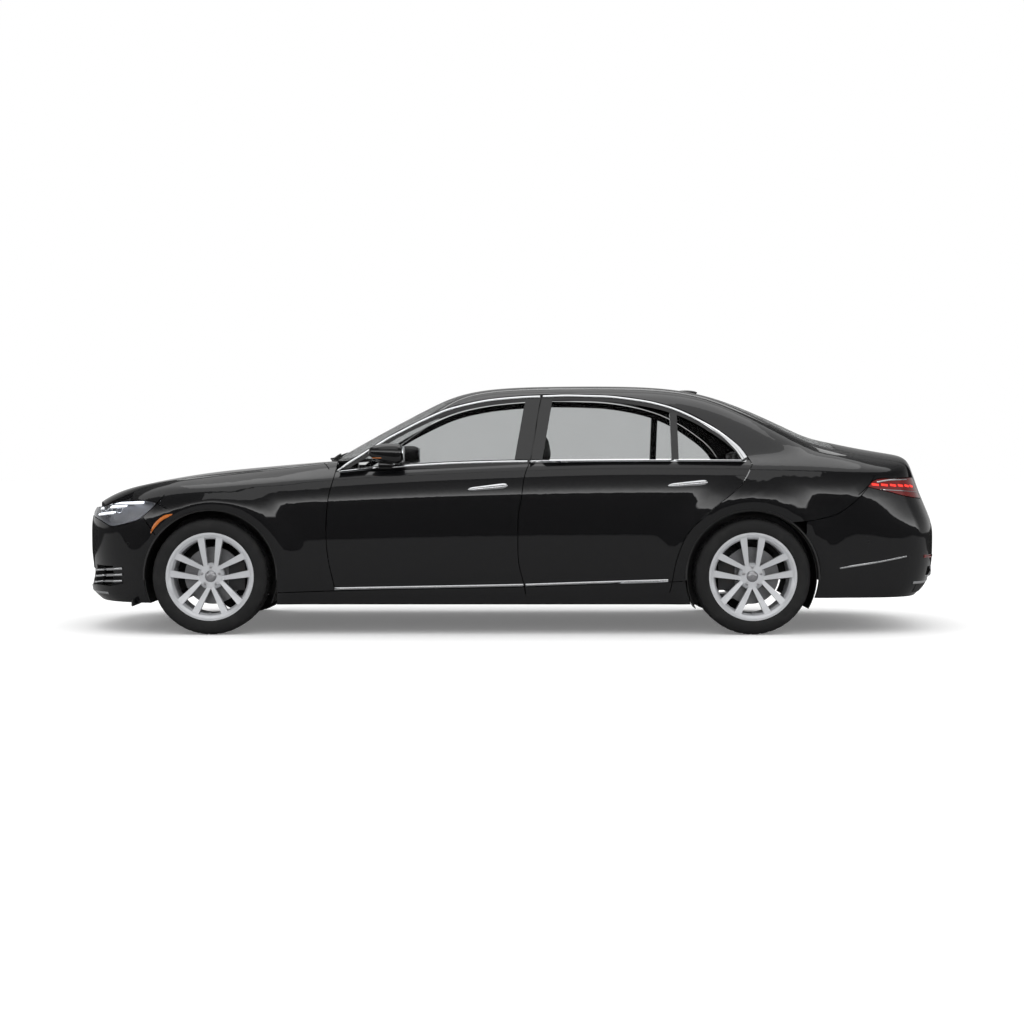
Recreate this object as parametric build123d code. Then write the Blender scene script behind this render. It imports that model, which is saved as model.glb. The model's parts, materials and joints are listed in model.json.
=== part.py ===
from build123d import *
import math
import os

import numpy as np

# Full-size luxury sedan, in millimetres.
# +X runs to the rear, +Y to the car's right side and +Z up.
# The origin is on the ground, mid-length, on the centre plane.

# ---- overall sizes ----
LENGTH = 5289.0
WIDTH = 1954.0            # over the body, without mirrors
HEIGHT = 1503.0
WHEELBASE = 3216.0
FRONT_OVERHANG = 860.0
TRACK_FRONT = 1656.0
TRACK_REAR = 1668.0

# ---- wheels ----
TYRE_R = 345.0
TYRE_W = 255.0
RIM_R = 241.3             # 19 inch bead seat
RIM_FLANGE_R = 261.0
RIM_W = 236.0
HUB_R = 34.0
BOLT_CIRCLE_R = 56.0
BOLT_HOLE_R = 7.5
BOLTS = 5
SPOKE_PAIRS = 5
DISC_R = 170.0
DISC_T = 30.0

# ---- shut lines, walls and clearances ----
SHUT_GAP = 5.0            # between neighbouring painted panels
SKIN = 24.0               # edge depth of a door or lid before its inner box starts
DOOR_STEP = 26.0          # how far the inner box of a door stays inside its outline
DOOR_INNER_Y = 818.0      # inner face of the doors below the belt
FRAME_DEPTH = 36.0        # depth of a door's window frame
PANEL = 30.0              # roof, hood and lid thickness
SHELL = 55.0              # pillars, rails and quarter panels
GLASS = 5.0
FIT = 0.3                 # seated pieces that must not overlap
ARCH_GAP = 55.0           # tyre tread to wheel arch
SWING = 10.0              # running clearance behind the doors

# ---- nominal drawing that the outlines below are laid out on ----
NOM_LENGTH = 5289.0
NOM_WIDTH = 1954.0
NOM_HEIGHT = 1503.0
NOM_FRONT_AXLE = -1784.5
NOM_REAR_AXLE = 1431.5
NOM_HUB_Z = 345.0

FRONT_AXLE = -LENGTH / 2 + FRONT_OVERHANG
REAR_AXLE = FRONT_AXLE + WHEELBASE
ARCH_R = TYRE_R + ARCH_GAP
SIDES = (("left", -1), ("right", 1))
AXLES = (("front", FRONT_AXLE, TRACK_FRONT), ("rear", REAR_AXLE, TRACK_REAR))

_X_FROM = (-NOM_LENGTH / 2, NOM_FRONT_AXLE, NOM_REAR_AXLE, NOM_LENGTH / 2)
_X_TO = (-LENGTH / 2, FRONT_AXLE, REAR_AXLE, LENGTH / 2)


def sx(x):
    """Drawing station to real station: each of the three spans stretches by itself."""
    x = np.asarray(x, float)
    inner = np.interp(x, _X_FROM, _X_TO)
    return inner + np.where(x < _X_FROM[0], x - _X_FROM[0], 0) + np.where(x > _X_FROM[3], x - _X_FROM[3], 0)


def sy(y):
    return np.asarray(y, float) * WIDTH / NOM_WIDTH


def sz(z):
    return np.asarray(z, float) * HEIGHT / NOM_HEIGHT


# ---------------------------------------------------------------- curves and blends

def curve(*points):
    """Natural cubic spline through (position, value) points, level beyond its ends."""
    xs = np.array([p[0] for p in points], float)
    ys = np.array([p[1] for p in points], float)
    n = len(xs)
    h = np.diff(xs)
    system = np.zeros((n, n))
    right = np.zeros(n)
    system[0, 0] = system[-1, -1] = 1
    for i in range(1, n - 1):
        system[i, i - 1:i + 2] = h[i - 1], 2 * (h[i - 1] + h[i]), h[i]
        right[i] = 6 * ((ys[i + 1] - ys[i]) / h[i] - (ys[i] - ys[i - 1]) / h[i - 1])
    bend = np.linalg.solve(system, right)

    def value(x):
        x = np.clip(np.asarray(x, float), xs[0], xs[-1])
        i = np.clip(np.searchsorted(xs, x) - 1, 0, n - 2)
        a = xs[i + 1] - x
        b = x - xs[i]
        low = (ys[i] / h[i] - bend[i] * h[i] / 6) * a
        high = (ys[i + 1] / h[i] - bend[i + 1] * h[i] / 6) * b
        return (bend[i] * a**3 + bend[i + 1] * b**3) / (6 * h[i]) + low + high

    return value


def larger(a, b, radius):
    """Smooth maximum: rounds an outside corner where two shapes are intersected."""
    h = np.maximum(radius - np.abs(a - b), 0) / radius
    return np.maximum(a, b) + h**3 * radius / 6


def smaller(a, b, radius):
    """Smooth minimum: fills the inside corner where two shapes are joined."""
    return -larger(-a, -b, radius)


# ---------------------------------------------------------------- body shape (drawing space)

widest_half = curve((-2700, 800), (-2450, 868), (-2150, 925), (-1784, 949), (-1300, 957), (-600, 967),
                    (200, 971), (900, 970), (1431, 963), (1900, 940), (2250, 902), (2500, 852), (2700, 790))
widest_z = curve((-2700, 660), (-1784, 742), (-1050, 770), (-650, 786), (100, 806), (1000, 816),
                 (1431, 820), (2000, 805), (2700, 760))
shoulder_z = curve((-2700, 830), (-1850, 878), (-1350, 908), (-1050, 932), (-650, 957), (100, 988),
                   (600, 1001), (1200, 1000), (1750, 990), (2100, 975), (2700, 935))
turn_in = curve((-2700, 1.6), (-1784, 1.6), (-1050, 1.35), (0, 1.05), (1200, 1.0), (2000, 1.15), (2700, 1.2))
deck_centre = curve((-2700, 715), (-2576, 790), (-2511, 822), (-2379, 864), (-2117, 922), (-1854, 963),
                    (-1592, 990), (-1329, 1013), (-1100, 1030), (-600, 1045), (300, 1050), (1200, 1060),
                    (1700, 1120), (1985, 1140), (2140, 1120), (2294, 1095), (2448, 1069), (2600, 1040))
deck_crown = curve((-2700, 2.6e-5), (-1300, 2.4e-5), (-900, 0), (1100, 0), (1700, 9e-5), (2100, 1.5e-4),
                   (2700, 1.6e-4))
nose_plan = curve((0, 0), (250, 14), (500, 68), (650, 130), (780, 222), (870, 330), (930, 470), (970, 640),
                  (1000, 800))
nose_profile = curve((120, 150), (193, 52), (240, 9), (330, 12), (450, 5), (560, 1), (640, 2), (714, 15), (751, 33),
                     (788, 74), (840, 160), (900, 280))
tail_plan = curve((0, 0), (250, 12), (500, 52), (650, 98), (780, 165), (860, 240), (920, 345), (960, 480),
                  (1000, 660))
tail_profile = curve((150, 190), (230, 90), (305, 34), (380, 10), (453, 2), (540, 0), (620, 3), (676, 17), (751, 46),
                     (825, 77), (937, 118), (1024, 150), (1100, 175))
glasshouse_half = curve((-1500, 790), (-1050, 862), (-600, 893), (0, 907), (700, 907), (1200, 889),
                        (1600, 850), (2000, 782), (2300, 700), (2600, 600))
roof_centre = curve((-1700, 716), (-1400, 882), (-1178, 1006), (-870, 1180), (-561, 1345), (-380, 1428),
                    (-200, 1473), (0, 1493), (300, 1502), (600, 1503), (900, 1493), (1214, 1446),
                    (1522, 1339), (1831, 1197), (2100, 1066), (2400, 915))
glass_bow = curve((-1300, -3.6e-4), (-600, -2.4e-4), (-100, 0), (900, 0), (1400, 1.6e-4), (2100, 2.4e-4))
rail_round = curve((-1300, 80), (-600, 105), (0, 150), (900, 170), (1500, 150), (2300, 120))
base_blend = curve((-2000, 24), (1300, 24), (1750, 110), (2300, 150), (2700, 150))

TUMBLE = 0.46             # inward lean of the side glass per millimetre of height
TUMBLE_BEND = 1.1e-4
BELT_Z = 1030.0
LOWER_DROP = 46.0         # tuck under from the widest line to the sill
LOWER_SPAN = 540.0
UPPER_DROP = 30.0         # lean in from the widest line to the shoulder
SHOULDER_SOFT = 22.0      # rounding of the shoulder line
ROOF_CROWN = 7.5e-5
FLARE_EDGE_R = 434.0      # crease around the wheel arches
FLARE_FADE = 170.0
FLARE_FRONT = 14.0
FLARE_REAR = 11.0
FLARE_TUCK = 0.34


def flare(x, z, axle, height):
    """How far the side swells out around one wheel arch."""
    r = np.hypot(x - axle, z - NOM_HUB_Z)
    t = np.clip((r - FLARE_EDGE_R) / FLARE_FADE, 0, 1)
    outside = height * (1 - t * t * (3 - 2 * t))
    inside = height - FLARE_TUCK * (FLARE_EDGE_R - r)
    return smaller(outside, inside, 12.0)


def side_half(x, z):
    """Half width of the body side below the belt."""
    zw = widest_z(x)
    zs = shoulder_z(x)
    below = LOWER_DROP * (np.maximum(zw - z, 0) / LOWER_SPAN) ** 2
    above = UPPER_DROP * (np.maximum(z - zw, 0) / (zs - zw)) ** 2
    wall = widest_half(x) - below - above
    turned = widest_half(x) - UPPER_DROP - turn_in(x) * (z - zs)
    wall = wall + flare(x, z, NOM_FRONT_AXLE, FLARE_FRONT) + flare(x, z, NOM_REAR_AXLE, FLARE_REAR)
    return smaller(wall, turned, SHOULDER_SOFT)


def glass_half(x, z):
    """Half width of the glasshouse."""
    up = z - BELT_Z
    return glasshouse_half(x) - TUMBLE * up - TUMBLE_BEND * np.abs(up) * up


def roof_height(x, y):
    """Top of the glasshouse: windshield, roof and rear window as one sheet."""
    bow = np.clip(y * y, 0, 9e5) * glass_bow(x)
    return roof_centre(x + bow) - ROOF_CROWN * y * y


def lower_body(x, y, z):
    """Negative inside the body below the belt, positive outside."""
    half = np.abs(y)
    side = half - side_half(x, z)
    deck = z - (deck_centre(x) - deck_crown(x) * y * y)
    nose = (-NOM_LENGTH / 2 + nose_plan(half) + nose_profile(z)) - x
    tail = x - (NOM_LENGTH / 2 - tail_plan(half) - tail_profile(z))
    ends = np.maximum(nose, tail)
    rim = larger(side, ends, 220.0)
    return larger(rim, deck, np.where(x < 0, 70.0, 60.0))


def upper_body(x, y, z):
    below_belt_half = glasshouse_half(x) + 22 + 1.1 * (z - BELT_Z)
    side = np.abs(y) - smaller(glass_half(x, z), below_belt_half, 30.0)
    top = z - roof_height(x, y)
    return np.maximum(larger(side, top, rail_round(x)), np.maximum(x - 2350, -1550 - x))


def whole_body(x, y, z):
    return smaller(lower_body(x, y, z), upper_body(x, y, z), base_blend(x))


# ---------------------------------------------------------------- sheets and solids

def hit(shape, origin, direction, reach=1600.0):
    """Point where each ray leaves the shape; arrays of points and unit directions."""
    near = np.zeros(origin.shape[:-1])
    far = np.full(origin.shape[:-1], reach)
    for _ in range(44):
        middle = (near + far) / 2
        p = origin + direction * middle[..., None]
        inside = shape(p[..., 0], p[..., 1], p[..., 2]) < 0
        near = np.where(inside, middle, near)
        far = np.where(inside, far, middle)
    return origin + direction * far[..., None]


def real(points):
    """Drawing-space points to real points."""
    return np.stack([sx(points[..., 0]), sy(points[..., 1]), sz(points[..., 2])], axis=-1)


def row_edge(row):
    """Smooth edge through a row of real points, evenly parametrised."""
    return Edge.make_spline([Vector(*p) for p in row], parameters=list(np.linspace(0, 1, len(row))))


def between(outer, inner):
    """Solid lofted through flat sections, each closed by an outer and an inner row of points."""
    sections = []
    for near, far in zip(real(outer), real(inner)[:, ::-1]):
        bridge = Edge.make_line(Vector(*near[-1]), Vector(*far[0]))
        back = Edge.make_line(Vector(*far[-1]), Vector(*near[0]))
        sections.append(Wire([row_edge(near), bridge, row_edge(far), back]))
    return Solid.make_loft(sections)


def spread(*stops):
    """Values between stops: (start, count, next, count, ..., end)."""
    values = []
    for start, count, end in zip(stops[0::2], stops[1::2], stops[2::2]):
        values += list(np.linspace(start, end, int(count), endpoint=False))
    return np.array(values + [stops[-1]])


def offset_points(points, distance):
    """Points moved sideways, to the left of their run."""
    p = np.asarray(points, float)
    run = np.gradient(p, axis=0)
    run = run / np.linalg.norm(run, axis=1)[:, None]
    return p + distance * np.stack([-run[:, 1], run[:, 0]], axis=1)


def place(p, plane):
    """A drawing point (first, second) on the side or top plane, in real millimetres."""
    if plane == "side":
        return Vector(float(sx(p[0])), 0, float(sz(p[1])))
    return Vector(float(sx(p[0])), float(sy(p[1])), 0)


def run_edge(points, plane):
    vectors = [place(p, plane) for p in points]
    return Line(*vectors) if len(vectors) == 2 else Spline(*vectors)


def push(face, plane, low, high):
    """Extrude a flat face along the plane's normal, from low to high."""
    way = Vector(0, 1, 0) if plane == "side" else Vector(0, 0, 1)
    return Solid.extrude(face.translate(way * low), way * (high - low))


def ribbon(points, width, plane, low, high, side=0.0):
    """Thin cutter along a line of drawing points, width wide, shifted sideways by side."""
    left = offset_points(points, side + width / 2)
    right = offset_points(points, side - width / 2)
    edges = [run_edge(left, plane), Line(place(left[-1], plane), place(right[-1], plane)),
             run_edge(right[::-1], plane), Line(place(right[0], plane), place(left[0], plane))]
    return push(Face(Wire(edges)), plane, low, high)


def prism(points, plane, low, high):
    """Straight-sided block over a closed outline of drawing points."""
    return push(Face(Wire.make_polygon([place(p, plane) for p in points])), plane, low, high)


def block(x0, x1, y0, y1, z0, z1):
    """Box between real coordinates."""
    return Pos((x0 + x1) / 2, (y0 + y1) / 2, (z0 + z1) / 2) * Solid.make_box(x1 - x0, y1 - y0, z1 - z0).translate(
        Vector(-(x1 - x0) / 2, -(y1 - y0) / 2, -(z1 - z0) / 2))


def drawn_block(x0, x1, y0, y1, z0, z1):
    """Box between drawing coordinates."""
    low = (float(sx(x0)), float(sy(y0)), float(sz(z0)))
    high = (float(sx(x1)), float(sy(y1)), float(sz(z1)))
    return block(low[0], high[0], low[1], high[1], low[2], high[2])


def rod(x, y0, y1, z, radius):
    """Cylinder along Y."""
    return Solid.make_cylinder(radius, y1 - y0, Plane(origin=(x, y0, z), z_dir=(0, 1, 0)))


def cut(shape, *tools):
    for tool in tools:
        shape = shape - tool
    return shape


def piece(shape, x, y, z):
    """The solid of a cut shape whose box centre lies nearest a drawing point."""
    goal = Vector(float(sx(x)), float(sy(y)), float(sz(z)))
    return min(shape.solids(), key=lambda s: (s.bounding_box().center() - goal).length)


def biggest(shape):
    return max(shape.solids(), key=lambda s: s.volume)


def shell(shape, origin, direction, depth, start=0.0):
    """Wall of a shape, from start to depth behind its surface, measured along the rays."""
    surface = hit(shape, origin, direction)
    return between(surface - direction * start, surface - direction * depth)


def rays(first, second, origin, direction):
    """Two ray parameters to arrays of origins and directions."""
    u, v = np.meshgrid(first, second, indexing="ij")
    zero = np.zeros_like(u)
    o = np.stack([zero + part for part in origin(u, v)], axis=-1)
    d = np.stack([zero + part for part in direction(u, v)], axis=-1)
    return o, d


def section_rays(x0, x1, a0, a1, side, nx=60, na=46, z0=560.0):
    """Rays in cross-sections, a0 to a1 degrees above the horizon."""
    return rays(np.linspace(x0, x1, nx), np.radians(np.linspace(a0, a1, na)),
                lambda x, a: (x, 0, z0), lambda x, a: (0, side * np.cos(a), np.sin(a)))


def end_rays(centre_x, front, a0, a1, z0, z1, na=44, nz=26):
    """Level rays around the nose or tail."""
    return rays(np.radians(np.linspace(a0, a1, na)), np.linspace(z0, z1, nz),
                lambda a, z: (centre_x, 0, z), lambda a, z: (front * np.cos(a), np.sin(a), 0))


def top_rays(x0, x1, half, nx=40, ny=21, z0=500.0):
    """Upright rays for a deck, roof or window."""
    return rays(np.linspace(x0, x1, nx), np.linspace(-half, half, ny),
                lambda x, y: (x, y, z0), lambda x, y: (0, 0, 1))


def lid_rays(centre_x, half, a0, lip, a1, ny=19, z0=600.0):
    """Rays in lengthwise planes, for the trunk lid that turns from tail to deck at the lip angle."""
    angles = np.radians(spread(a0, 8, lip - 9, 12, lip + 9, 9, a1))
    return rays(np.linspace(-half, half, ny), angles,
                lambda y, a: (centre_x, y, z0), lambda y, a: (np.cos(a), 0, np.sin(a)))


# ---------------------------------------------------------------- shut lines (drawing space)

# side view (x, z)
FENDER_DOOR = ((-1052, 180), (-1050, 287), (-1074, 395), (-1092, 520), (-1095, 640), (-1089, 750),
               (-1074, 850), (-1051, 935), (-1043, 985), (-1040, 1075))
DOOR_DOOR = ((88, 200), (77, 293), (46, 420), (40, 560), (46, 735), (59, 805), (90, 976), (112, 1027),
             (156, 1290), (184, 1419), (197, 1480))
DOOR_REAR = ((940, 250), (958, 335), (970, 407), (1006, 523), (1042, 595), (1103, 668), (1176, 735),
             (1285, 820), (1357, 886), (1402, 953), (1420, 990), (1431, 1019))
DOOR_TOP = ((-1056, 960), (-1040, 974), (-985, 1022), (-898, 1077), (-740, 1179), (-573, 1268), (-402, 1343),
            (-232, 1388), (-60, 1414), (115, 1428), (334, 1435), (474, 1432), (614, 1426), (799, 1401),
            (990, 1352), (1180, 1259), (1270, 1198), (1360, 1122), (1402, 1068), (1424, 1026), (1432, 1006))
DOOR_BOTTOM = ((-1430, 248), (-1340, 250), (-1050, 260), (-760, 268), (80, 285), (600, 303), (950, 314), (1300, 324))
BELT = ((-1130, 952), (-1024, 968), (-868, 984), (-660, 1002), (-500, 1012), (-330, 1021), (-70, 1029),
        (340, 1033), (780, 1036), (1200, 1036), (1500, 1034))
BUMPER_FENDER = ((-2235, 760), (-2190, 700), (-2090, 560), (-2000, 430))
LAMP_LOW = ((-2680, 702), (-2560, 690), (-2466, 664), (-2400, 640), (-2330, 650), (-2270, 664), (-2210, 686),
            (-2165, 720), (-2110, 770), (-2060, 830))
LAMP_TOP = ((-2700, 742), (-2540, 750), (-2440, 763), (-2388, 778), (-2287, 790), (-2200, 796), (-2155, 792),
            (-2090, 772), (-2040, 745))
BUMPER_QUARTER = ((1640, 664), (1751, 674), (1853, 692), (1925, 712), (1997, 757), (2069, 817), (2123, 880),
                  (2165, 945))
TAIL_TOP = ((2060, 830), (2123, 885), (2157, 914), (2260, 926), (2390, 930), (2700, 934))
TAIL_LOW = ((2050, 905), (2123, 876), (2243, 848), (2351, 822), (2440, 808), (2700, 800))

# top view (x, y), right half
HOOD_SIDE = ((-2700, 560), (-2520, 640), (-2380, 716), (-2250, 756), (-2000, 786), (-1700, 792),
             (-1400, 774), (-1150, 742), (-1040, 724))
HOOD_FRONT = ((-2440, -760), (-2480, -620), (-2532, -450), (-2578, -220), (-2592, 0), (-2578, 220), (-2532, 450),
              (-2480, 620), (-2440, 760))
HOOD_REAR = ((-1085, -860), (-1138, -742), (-1185, -600), (-1240, -300), (-1258, 0), (-1240, 300), (-1185, 600),
             (-1138, 742), (-1085, 860))
ROOF_EDGE = ((-1300, 812), (-1130, 772), (-1000, 735), (-700, 654), (-400, 597), (-100, 582), (300, 582),
             (800, 578), (1200, 560), (1500, 560), (1800, 590), (2040, 628))
COWL_SIDE = ((-1400, 766), (-1150, 736), (-1040, 718), (-880, 706))
WINDSHIELD_TOP_X = -330.0
REAR_WINDOW_TOP_X = 1235.0
TRUNK_FRONT_X = 1985.0
TRUNK_HALF = 600.0
TRUNK_LOW_Z = 655.0
LAMP_INNER_Y = 455.0
GRILLE_HALF = 400.0
GRILLE_LOW_Z = 470.0
GRILLE_TOP_Z = 742.0
WINDSHIELD_BASE = ((-905, -810), (-1000, -600), (-1084, -300), (-1116, 0), (-1084, 300), (-1000, 600), (-905, 810))
PILLAR_B = ((0, 179), (110, 179), (110, 985), (165, 1040), (235, 1446), (120, 1446), (50, 1040), (0, 985))
DIVISION_X = 975.0
DIVISION_W = 42.0
SILL_Z = 178.0
FRAME_W = 40.0            # door window frame, outline to glass
PILLAR_COVER_W = 62.0     # the same at the centre pillar


def mirrored(points):
    return tuple((x, -y) for x, y in points)


def outer_span(side):
    """Y range that side-view cutters pass through, on one side of the car."""
    reach = WIDTH
    return (60.0, reach) if side > 0 else (-reach, -60.0)


def door_lines(front, width, side, deep=0.0):
    """Cutters along every shut line of one door."""
    low, high = outer_span(side)
    lines = [DOOR_TOP, DOOR_BOTTOM, DOOR_DOOR, FENDER_DOOR if front else DOOR_REAR]
    return [ribbon(line, width, "side", low, high) for line in lines]


# ---------------------------------------------------------------- doors

def door_blank(front, side, width):
    """Block with a door's outline in side view, cut width wide along its shut lines."""
    x0, x1 = (-1250, 260) if front else (-20, 1500)
    low, high = outer_span(side)
    blank = prism(((x0, 190), (x1, 190), (x1, 1475), (x0, 1475)), "side", low, high)
    blank = cut(blank, *door_lines(front, width, side))
    return biggest(blank)


def window_blanks(front, side, extra=0.0):
    """Blocks through the window openings of one door; extra shrinks them for the glass."""
    x0, x1 = (-1250, 240) if front else (-20, 1500)
    low, high = outer_span(side)
    blank = prism(((x0, 800), (x1, 800), (x1, 1475), (x0, 1475)), "side", low, high)
    edge = 2 * (FRAME_W + extra)
    tools = [ribbon(DOOR_TOP, edge, "side", low, high),
             ribbon(DOOR_DOOR, 2 * (PILLAR_COVER_W + extra), "side", low, high),
             ribbon(BELT, 2 * (8.0 + extra), "side", low, high)]
    tools.append(ribbon(FENDER_DOOR if front else DOOR_REAR, edge, "side", low, high))
    if not front:
        half = DIVISION_W / 2 + extra
        tools.append(drawn_block(DIVISION_X - half, DIVISION_X + half, low - 50, high + 50, 700, 1500))
    found = cut(blank, *tools).solids()
    wanted = []
    for solid in found:
        centre = solid.center()
        above = centre.Z > float(sz(1040))
        ahead = float(sx(-1000)) < centre.X < float(sx(60)) if front else centre.X > float(sx(250))
        if above and ahead and solid.bounding_box().max.Z < float(sz(1432)):
            wanted.append(solid)
    return wanted


def door_side_wall(x0, x1, side, start, depth, low=190.0, high=1075.0):
    """Body side below the belt, as a wall with level thickness across the car."""
    xs = np.linspace(x0, x1, 24)
    rows = []
    for x in xs:
        zs = float(shoulder_z(x))
        z = spread(low, 14, zs - 60, 12, zs + 40, 3, high)
        rows.append(np.stack([np.full_like(z, x), np.zeros_like(z), z], axis=-1))
    p = np.array(rows)
    half = side_half(p[..., 0], p[..., 2])
    outer, inner = p.copy(), p.copy()
    outer[..., 1] = side * (half - start)
    inner[..., 1] = side * (half - depth)
    return between(outer, inner)


def glass_wall(x0, x1, side, start, depth, low=900.0, high=1450.0):
    """Glasshouse side as a wall, from start to depth inboard."""
    x, z = np.meshgrid(np.linspace(x0, x1, 20), np.linspace(low, high, 12), indexing="ij")
    half = glass_half(x, z)
    outer = np.stack([x, side * (half - start), z], axis=-1)
    inner = np.stack([x, side * (half - depth), z], axis=-1)
    return between(outer, inner)


def below_belt(side, x0=-1400, x1=1600):
    """Everything under the belt line, as a side-view cutter."""
    low, high = outer_span(side)
    points = [(x0, 100)] + [(x0, 948)] + list(BELT) + [(x1, 1034), (x1, 100)]
    return prism(points, "side", low, high)


def inboard_of(side, y, x0=-1500, x1=1700):
    """Everything between the centre plane and y on one side."""
    edge = float(sy(y))
    return block(float(sx(x0)), float(sx(x1)), *sorted((side * 20, side * edge)), 50, 1700)


def build_door(front, side):
    x0, x1 = (-1240, 250) if front else (-10, 1490)
    skin = door_side_wall(x0, x1, side, 0, SKIN) & door_blank(front, side, SHUT_GAP)
    skin = skin & below_belt(side)
    body = door_side_wall(x0, x1, side, SKIN - 2, 260) & door_blank(front, side, SHUT_GAP + 2 * DOOR_STEP)
    body = (body & below_belt(side)) - inboard_of(side, DOOR_INNER_Y)
    frame = glass_wall(x0, x1, side, 0, FRAME_DEPTH, low=940) & door_blank(front, side, SHUT_GAP)
    for blank in window_blanks(front, side):
        frame = frame - blank
    frame = frame - drawn_block(-1400, 1600, -1200, 1200, 100, 985)
    return biggest(biggest(skin) + biggest(body) + biggest(frame))


def build_door_glass(front, side):
    x0, x1 = (-1240, 250) if front else (-10, 1490)
    pane = glass_wall(x0, x1, side, 14, 14 + GLASS, low=940)
    return [biggest(pane & blank) for blank in window_blanks(front, side, FIT)]


# ---------------------------------------------------------------- nose and tail

def lamp_cutters(width, side):
    """Cutters around one headlight."""
    low, high = outer_span(side)
    y = side * float(sy(LAMP_INNER_Y))
    half = width / 2
    inner = block(float(sx(-2750)), float(sx(-2300)), y - half, y + half, float(sz(600)), float(sz(830)))
    return [ribbon(LAMP_LOW, width, "side", low, high), ribbon(LAMP_TOP, width, "side", low, high), inner]


def arch_cutter(x, radius, side):
    low, high = outer_span(side)
    return rod(x, low if side < 0 else float(sy(430)), high if side > 0 else -float(sy(430)), TYRE_R, radius)


def nose_shell(depth, z0=185.0, z1=772.0):
    return shell(lower_body, *end_rays(-1950, -1, -84, 84, z0, z1), depth)


def build_front_bumper():
    wall = nose_shell(46)
    tools = []
    for name, side in SIDES:
        tools += lamp_cutters(SHUT_GAP, side)
        low, high = outer_span(side)
        tools.append(ribbon(BUMPER_FENDER, SHUT_GAP, "side", low, high))
        tools.append(arch_cutter(FRONT_AXLE, ARCH_R, side))
    grille = drawn_block(-2800, -2300, -GRILLE_HALF, GRILLE_HALF, GRILLE_LOW_Z, 900)
    intake = drawn_block(-2800, -2300, -520, 520, 262, 372)
    tools += [grille, intake]
    for side in (-1, 1):
        y0, y1 = sorted((side * 600, side * 790))
        tools.append(drawn_block(-2800, -2200, y0, y1, 280, 400))
    return biggest(cut(wall, *tools))


def build_grille():
    wall = shell(lower_body, *end_rays(-1950, -1, -30, 30, GRILLE_LOW_Z - 30, 772.0, 40, 20), 34, 8)
    frame = drawn_block(-2800, -2300, -GRILLE_HALF + FIT, GRILLE_HALF - FIT, GRILLE_LOW_Z + FIT, GRILLE_TOP_Z)
    panel = biggest(wall & frame)
    slot_h = 26.0
    pitch = (GRILLE_TOP_Z - GRILLE_LOW_Z - 34) / 5
    for row in range(5):
        z = GRILLE_LOW_Z + 20 + row * pitch
        for side in (-1, 1):
            y0, y1 = sorted((side * 14, side * (GRILLE_HALF - 24)))
            panel = panel - drawn_block(-2800, -2300, y0, y1, z, z + slot_h)
    return biggest(panel)


def build_headlights():
    lamps = []
    for name, side in SIDES:
        a0, a1 = sorted((side * 30, side * 84))
        wall = shell(lower_body, *end_rays(-1950, -1, a0, a1, 600, 815, 46, 24), 95)
        wall = cut(wall, *lamp_cutters(SHUT_GAP, side))
        lamps.append(piece(wall, -2330, side * 700, 715))
    return lamps


def tail_shell(depth, z0=215.0, z1=940.0):
    return shell(lower_body, *end_rays(1650, 1, -84, 84, z0, z1), depth)


def tail_cutters(width, side):
    low, high = outer_span(side)
    y = side * float(sy(TRUNK_HALF + 5))
    half = width / 2
    inner = block(float(sx(2150)), float(sx(2750)), y - half, y + half, float(sz(600)), float(sz(1010)))
    return [ribbon(TAIL_LOW, width, "side", low, high), ribbon(TAIL_TOP, width, "side", low, high), inner]


def build_rear_bumper():
    wall = tail_shell(46, 215, 905)
    tools = []
    for name, side in SIDES:
        low, high = outer_span(side)
        tools += [ribbon(BUMPER_QUARTER, SHUT_GAP, "side", low, high), arch_cutter(REAR_AXLE, ARCH_R, side)]
        tools.append(ribbon(TAIL_LOW, SHUT_GAP, "side", low, high))
    lid = TRUNK_HALF + SHUT_GAP
    tools.append(drawn_block(2000, 2800, -lid, lid, TRUNK_LOW_Z - SHUT_GAP, 1100))
    for side in (-1, 1):
        y0, y1 = sorted((side * 480, side * 690))
        tools.append(drawn_block(2300, 2800, y0, y1, 330, 392))
    return biggest(cut(wall, *tools))


def build_taillights():
    lamps = []
    for name, side in SIDES:
        a0, a1 = sorted((side * 20, side * 84))
        wall = shell(lower_body, *end_rays(1650, 1, a0, a1, 780, 950, 46, 20), 70)
        wall = cut(wall, *tail_cutters(SHUT_GAP, side))
        lamps.append(piece(wall, 2330, side * 740, 870))
    return lamps


# ---------------------------------------------------------------- hood, trunk lid, fenders

def hood_cutters(width):
    tools = [ribbon(line, width, "top", 100, 1500) for line in (HOOD_SIDE, mirrored(HOOD_SIDE), HOOD_FRONT, HOOD_REAR)]
    return tools


def hood_rays(nx=44, ny=27):
    """Upright rays over the hood, whose front row follows the nose in plan."""
    def station(u, y):
        front = -NOM_LENGTH / 2 + nose_plan(np.abs(y)) + 46
        return front + (-1060 - front) * u

    return rays(np.linspace(-800, 800, ny), np.linspace(0, 1, nx),
                lambda y, u: (station(u, y), y, 500), lambda y, u: (0, 0, 1))


def build_hood():
    wall = shell(lower_body, *hood_rays(), PANEL)
    return piece(cut(wall, *hood_cutters(SHUT_GAP)), -1880, 0, 900)


def build_trunk_lid():
    wall = shell(whole_body, *lid_rays(1900, TRUNK_HALF, -6, 37, 86), PANEL)
    lid = wall - drawn_block(1500, TRUNK_FRONT_X, -900, 900, 500, 1400)
    lid = lid - drawn_block(1500, 2900, -900, 900, 300, TRUNK_LOW_Z)
    return biggest(lid)


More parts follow.
